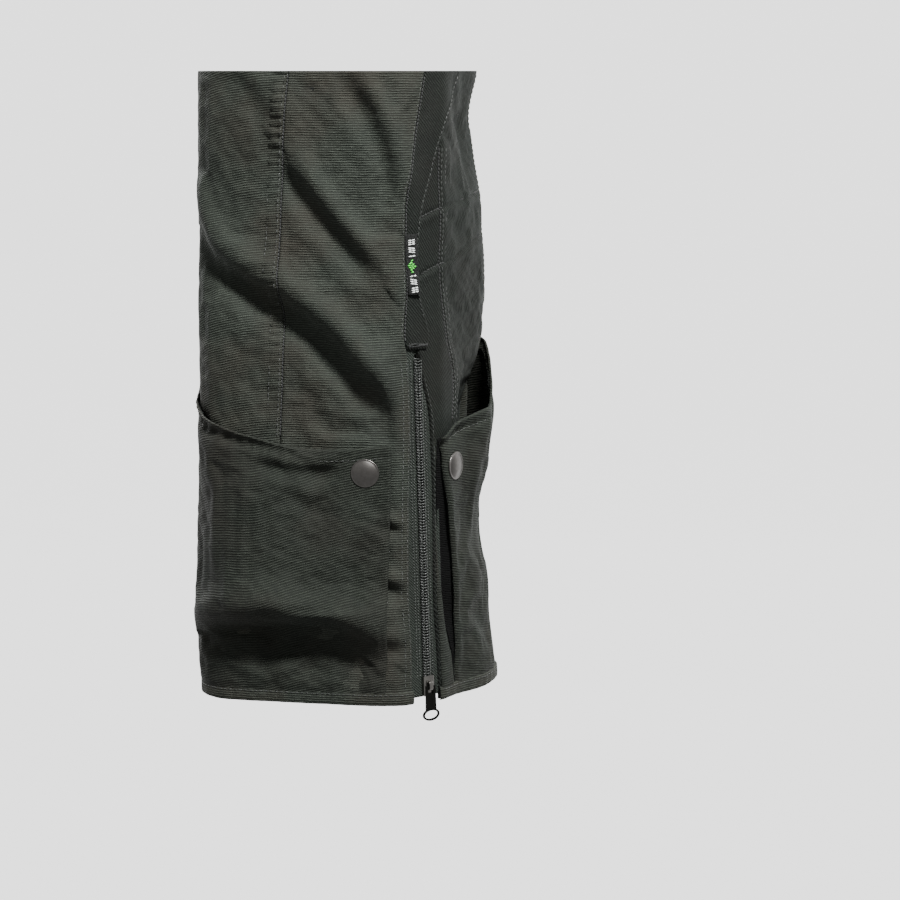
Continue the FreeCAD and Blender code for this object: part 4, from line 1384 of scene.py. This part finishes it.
def side_tab():
    """A folded woven tab with a plain, made-up pattern."""
    obj = panel("woven_tab", tab_left, lambda d: tab_left(d) + 6.8, constant(93.5), constant(128.5), tab_face,
                TAB, step=0.8, dips=(0.9, 0.3, 0.25, 0.25))
    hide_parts("side_tab")
    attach(obj, "leg")
    pale = []
    green = []
    for index, drop in enumerate(np.arange(97.0, 127.0, 1.15)):
        middle = abs(drop - 112)
        if index % 4 == 3 and middle > 5:
            continue
        half = 2.1 if middle > 5 else 2.8 * (1 - middle / 5.5)
        if half < 0.4:
            continue
        skew = 0.7 if (index // 4) % 2 else -0.7
        s = np.linspace(-half, half, 8) + tab_left(drop) + 3.4
        d = drop + skew * np.linspace(-0.5, 0.5, 8)
        (pale if middle > 5 else green).append(row(s, d, tab_face, 0.12))
    marks = stitches("woven_tab_marks", pale, radius=0.42, length=1.9, gap=0.15, material=PALE_THREAD)
    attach(marks, "leg")
    leaf = stitches("woven_tab_leaf", green, radius=0.45, length=1.6, gap=0.1, material=GREEN_THREAD)
    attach(leaf, "leg")


def bar_tack():
    """Dense zigzag sewing across the top of the vent."""
    zigzag = np.arange(0, 34)
    s = 172.5 + zigzag * 0.38
    d = 157.6 + 1.5 * (zigzag % 2)
    obj = stitches("vent_bar_tack_thread", [row(s, d, strip_lift, 0.3)], radius=0.24, length=1.6, gap=0.0,
                   material=DARK_THREAD_AND_SEAM_SHADE)
    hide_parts("vent_bar_tack")
    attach(obj, "leg")


# --- stage, light and camera


def backdrop():
    """A pale round studio: a floor that sweeps up all round the leg."""
    floor_z, flat, sweep = -0.9, 3.1, 0.9
    profile = [(0.001, floor_z), (1.0, floor_z), (2.0, floor_z), (flat, floor_z)]
    for angle in np.linspace(5, 90, 16):
        turn = math.radians(angle)
        profile.append((flat + sweep * math.sin(turn), floor_z + sweep * (1 - math.cos(turn))))
    profile.append((flat + sweep, 5.0))
    radius, height = np.array(profile).T
    segments = 72
    angles = np.linspace(0, 2 * math.pi, segments + 1)[:-1]
    x, y = np.outer(radius, np.cos(angles)), np.outer(radius, np.sin(angles))
    points = np.stack([x, y, np.outer(height, np.ones(segments))], axis=-1) / MM
    index = np.arange(len(profile) * segments).reshape(-1, segments)
    material, tree, shader = start_material("backdrop", Roughness=0.9)
    place = place_on(tree)
    depth = node(tree, "ShaderNodeSeparateXYZ", ((0, place),)).outputs[1]
    link(tree, remap(tree, depth, 0.0, 1.0, 0.5, 2.2), shader.inputs["Emission Strength"])
    tone = noise(tree, place, 3.0)
    for socket, low, high in (("Emission Color", 0.97, 1.0), ("Base Color", 0.04, 0.05)):
        link(tree, mix(tree, tone, shade((low,) * 3), shade((high,) * 3)), shader.inputs[socket])
    obj = mesh_object("backdrop", points.reshape(-1, 3), ring_faces(index), material)


def area_light(name, place, target, size, power, spread_angle=180.0):
    data = bpy.data.lights.new(name, "AREA")
    data.size = size
    data.energy = power
    data.spread = math.radians(spread_angle)
    obj = bpy.data.objects.new(name, data)
    obj.location = place
    obj.rotation_euler = (Vector(target) - Vector(place)).to_track_quat("-Z", "Y").to_euler()
    bpy.context.scene.collection.objects.link(obj)


def lights_and_camera():
    middle = (0.0, 0.0, -0.18)
    area_light("key", (0.50, -1.00, 1.20), middle, 0.32, 17.5, 70)
    area_light("fill", (-1.3, -1.1, 0.3), middle, 1.2, 1.6)
    area_light("back_key", (-0.7, 1.2, 0.8), middle, 0.7, 7, 70)
    world = bpy.data.worlds.new("studio")
    world.use_nodes = True
    world.node_tree.nodes["Background"].inputs[0].default_value = (1, 1, 1, 1)
    world.node_tree.nodes["Background"].inputs[1].default_value = 0.1
    bpy.context.scene.world = world
    data = bpy.data.cameras.new("camera")
    data.lens = 94.7
    data.sensor_width = 36.0
    data.clip_start = 0.01
    camera = bpy.data.objects.new("camera", data)
    camera.location = (0.060, -1.40, 0.0)
    camera.rotation_euler = (math.radians(90 - 9.1), 0, 0)
    bpy.context.scene.collection.objects.link(camera)
    bpy.context.scene.camera = camera


shell_panels()
inner_layers()
hem_bands()
front_pocket()
rear_pocket()
stitching()
zip_pieces()
snap_caps()
cad_metal()
side_tab()
bar_tack()
backdrop()
lights_and_camera()
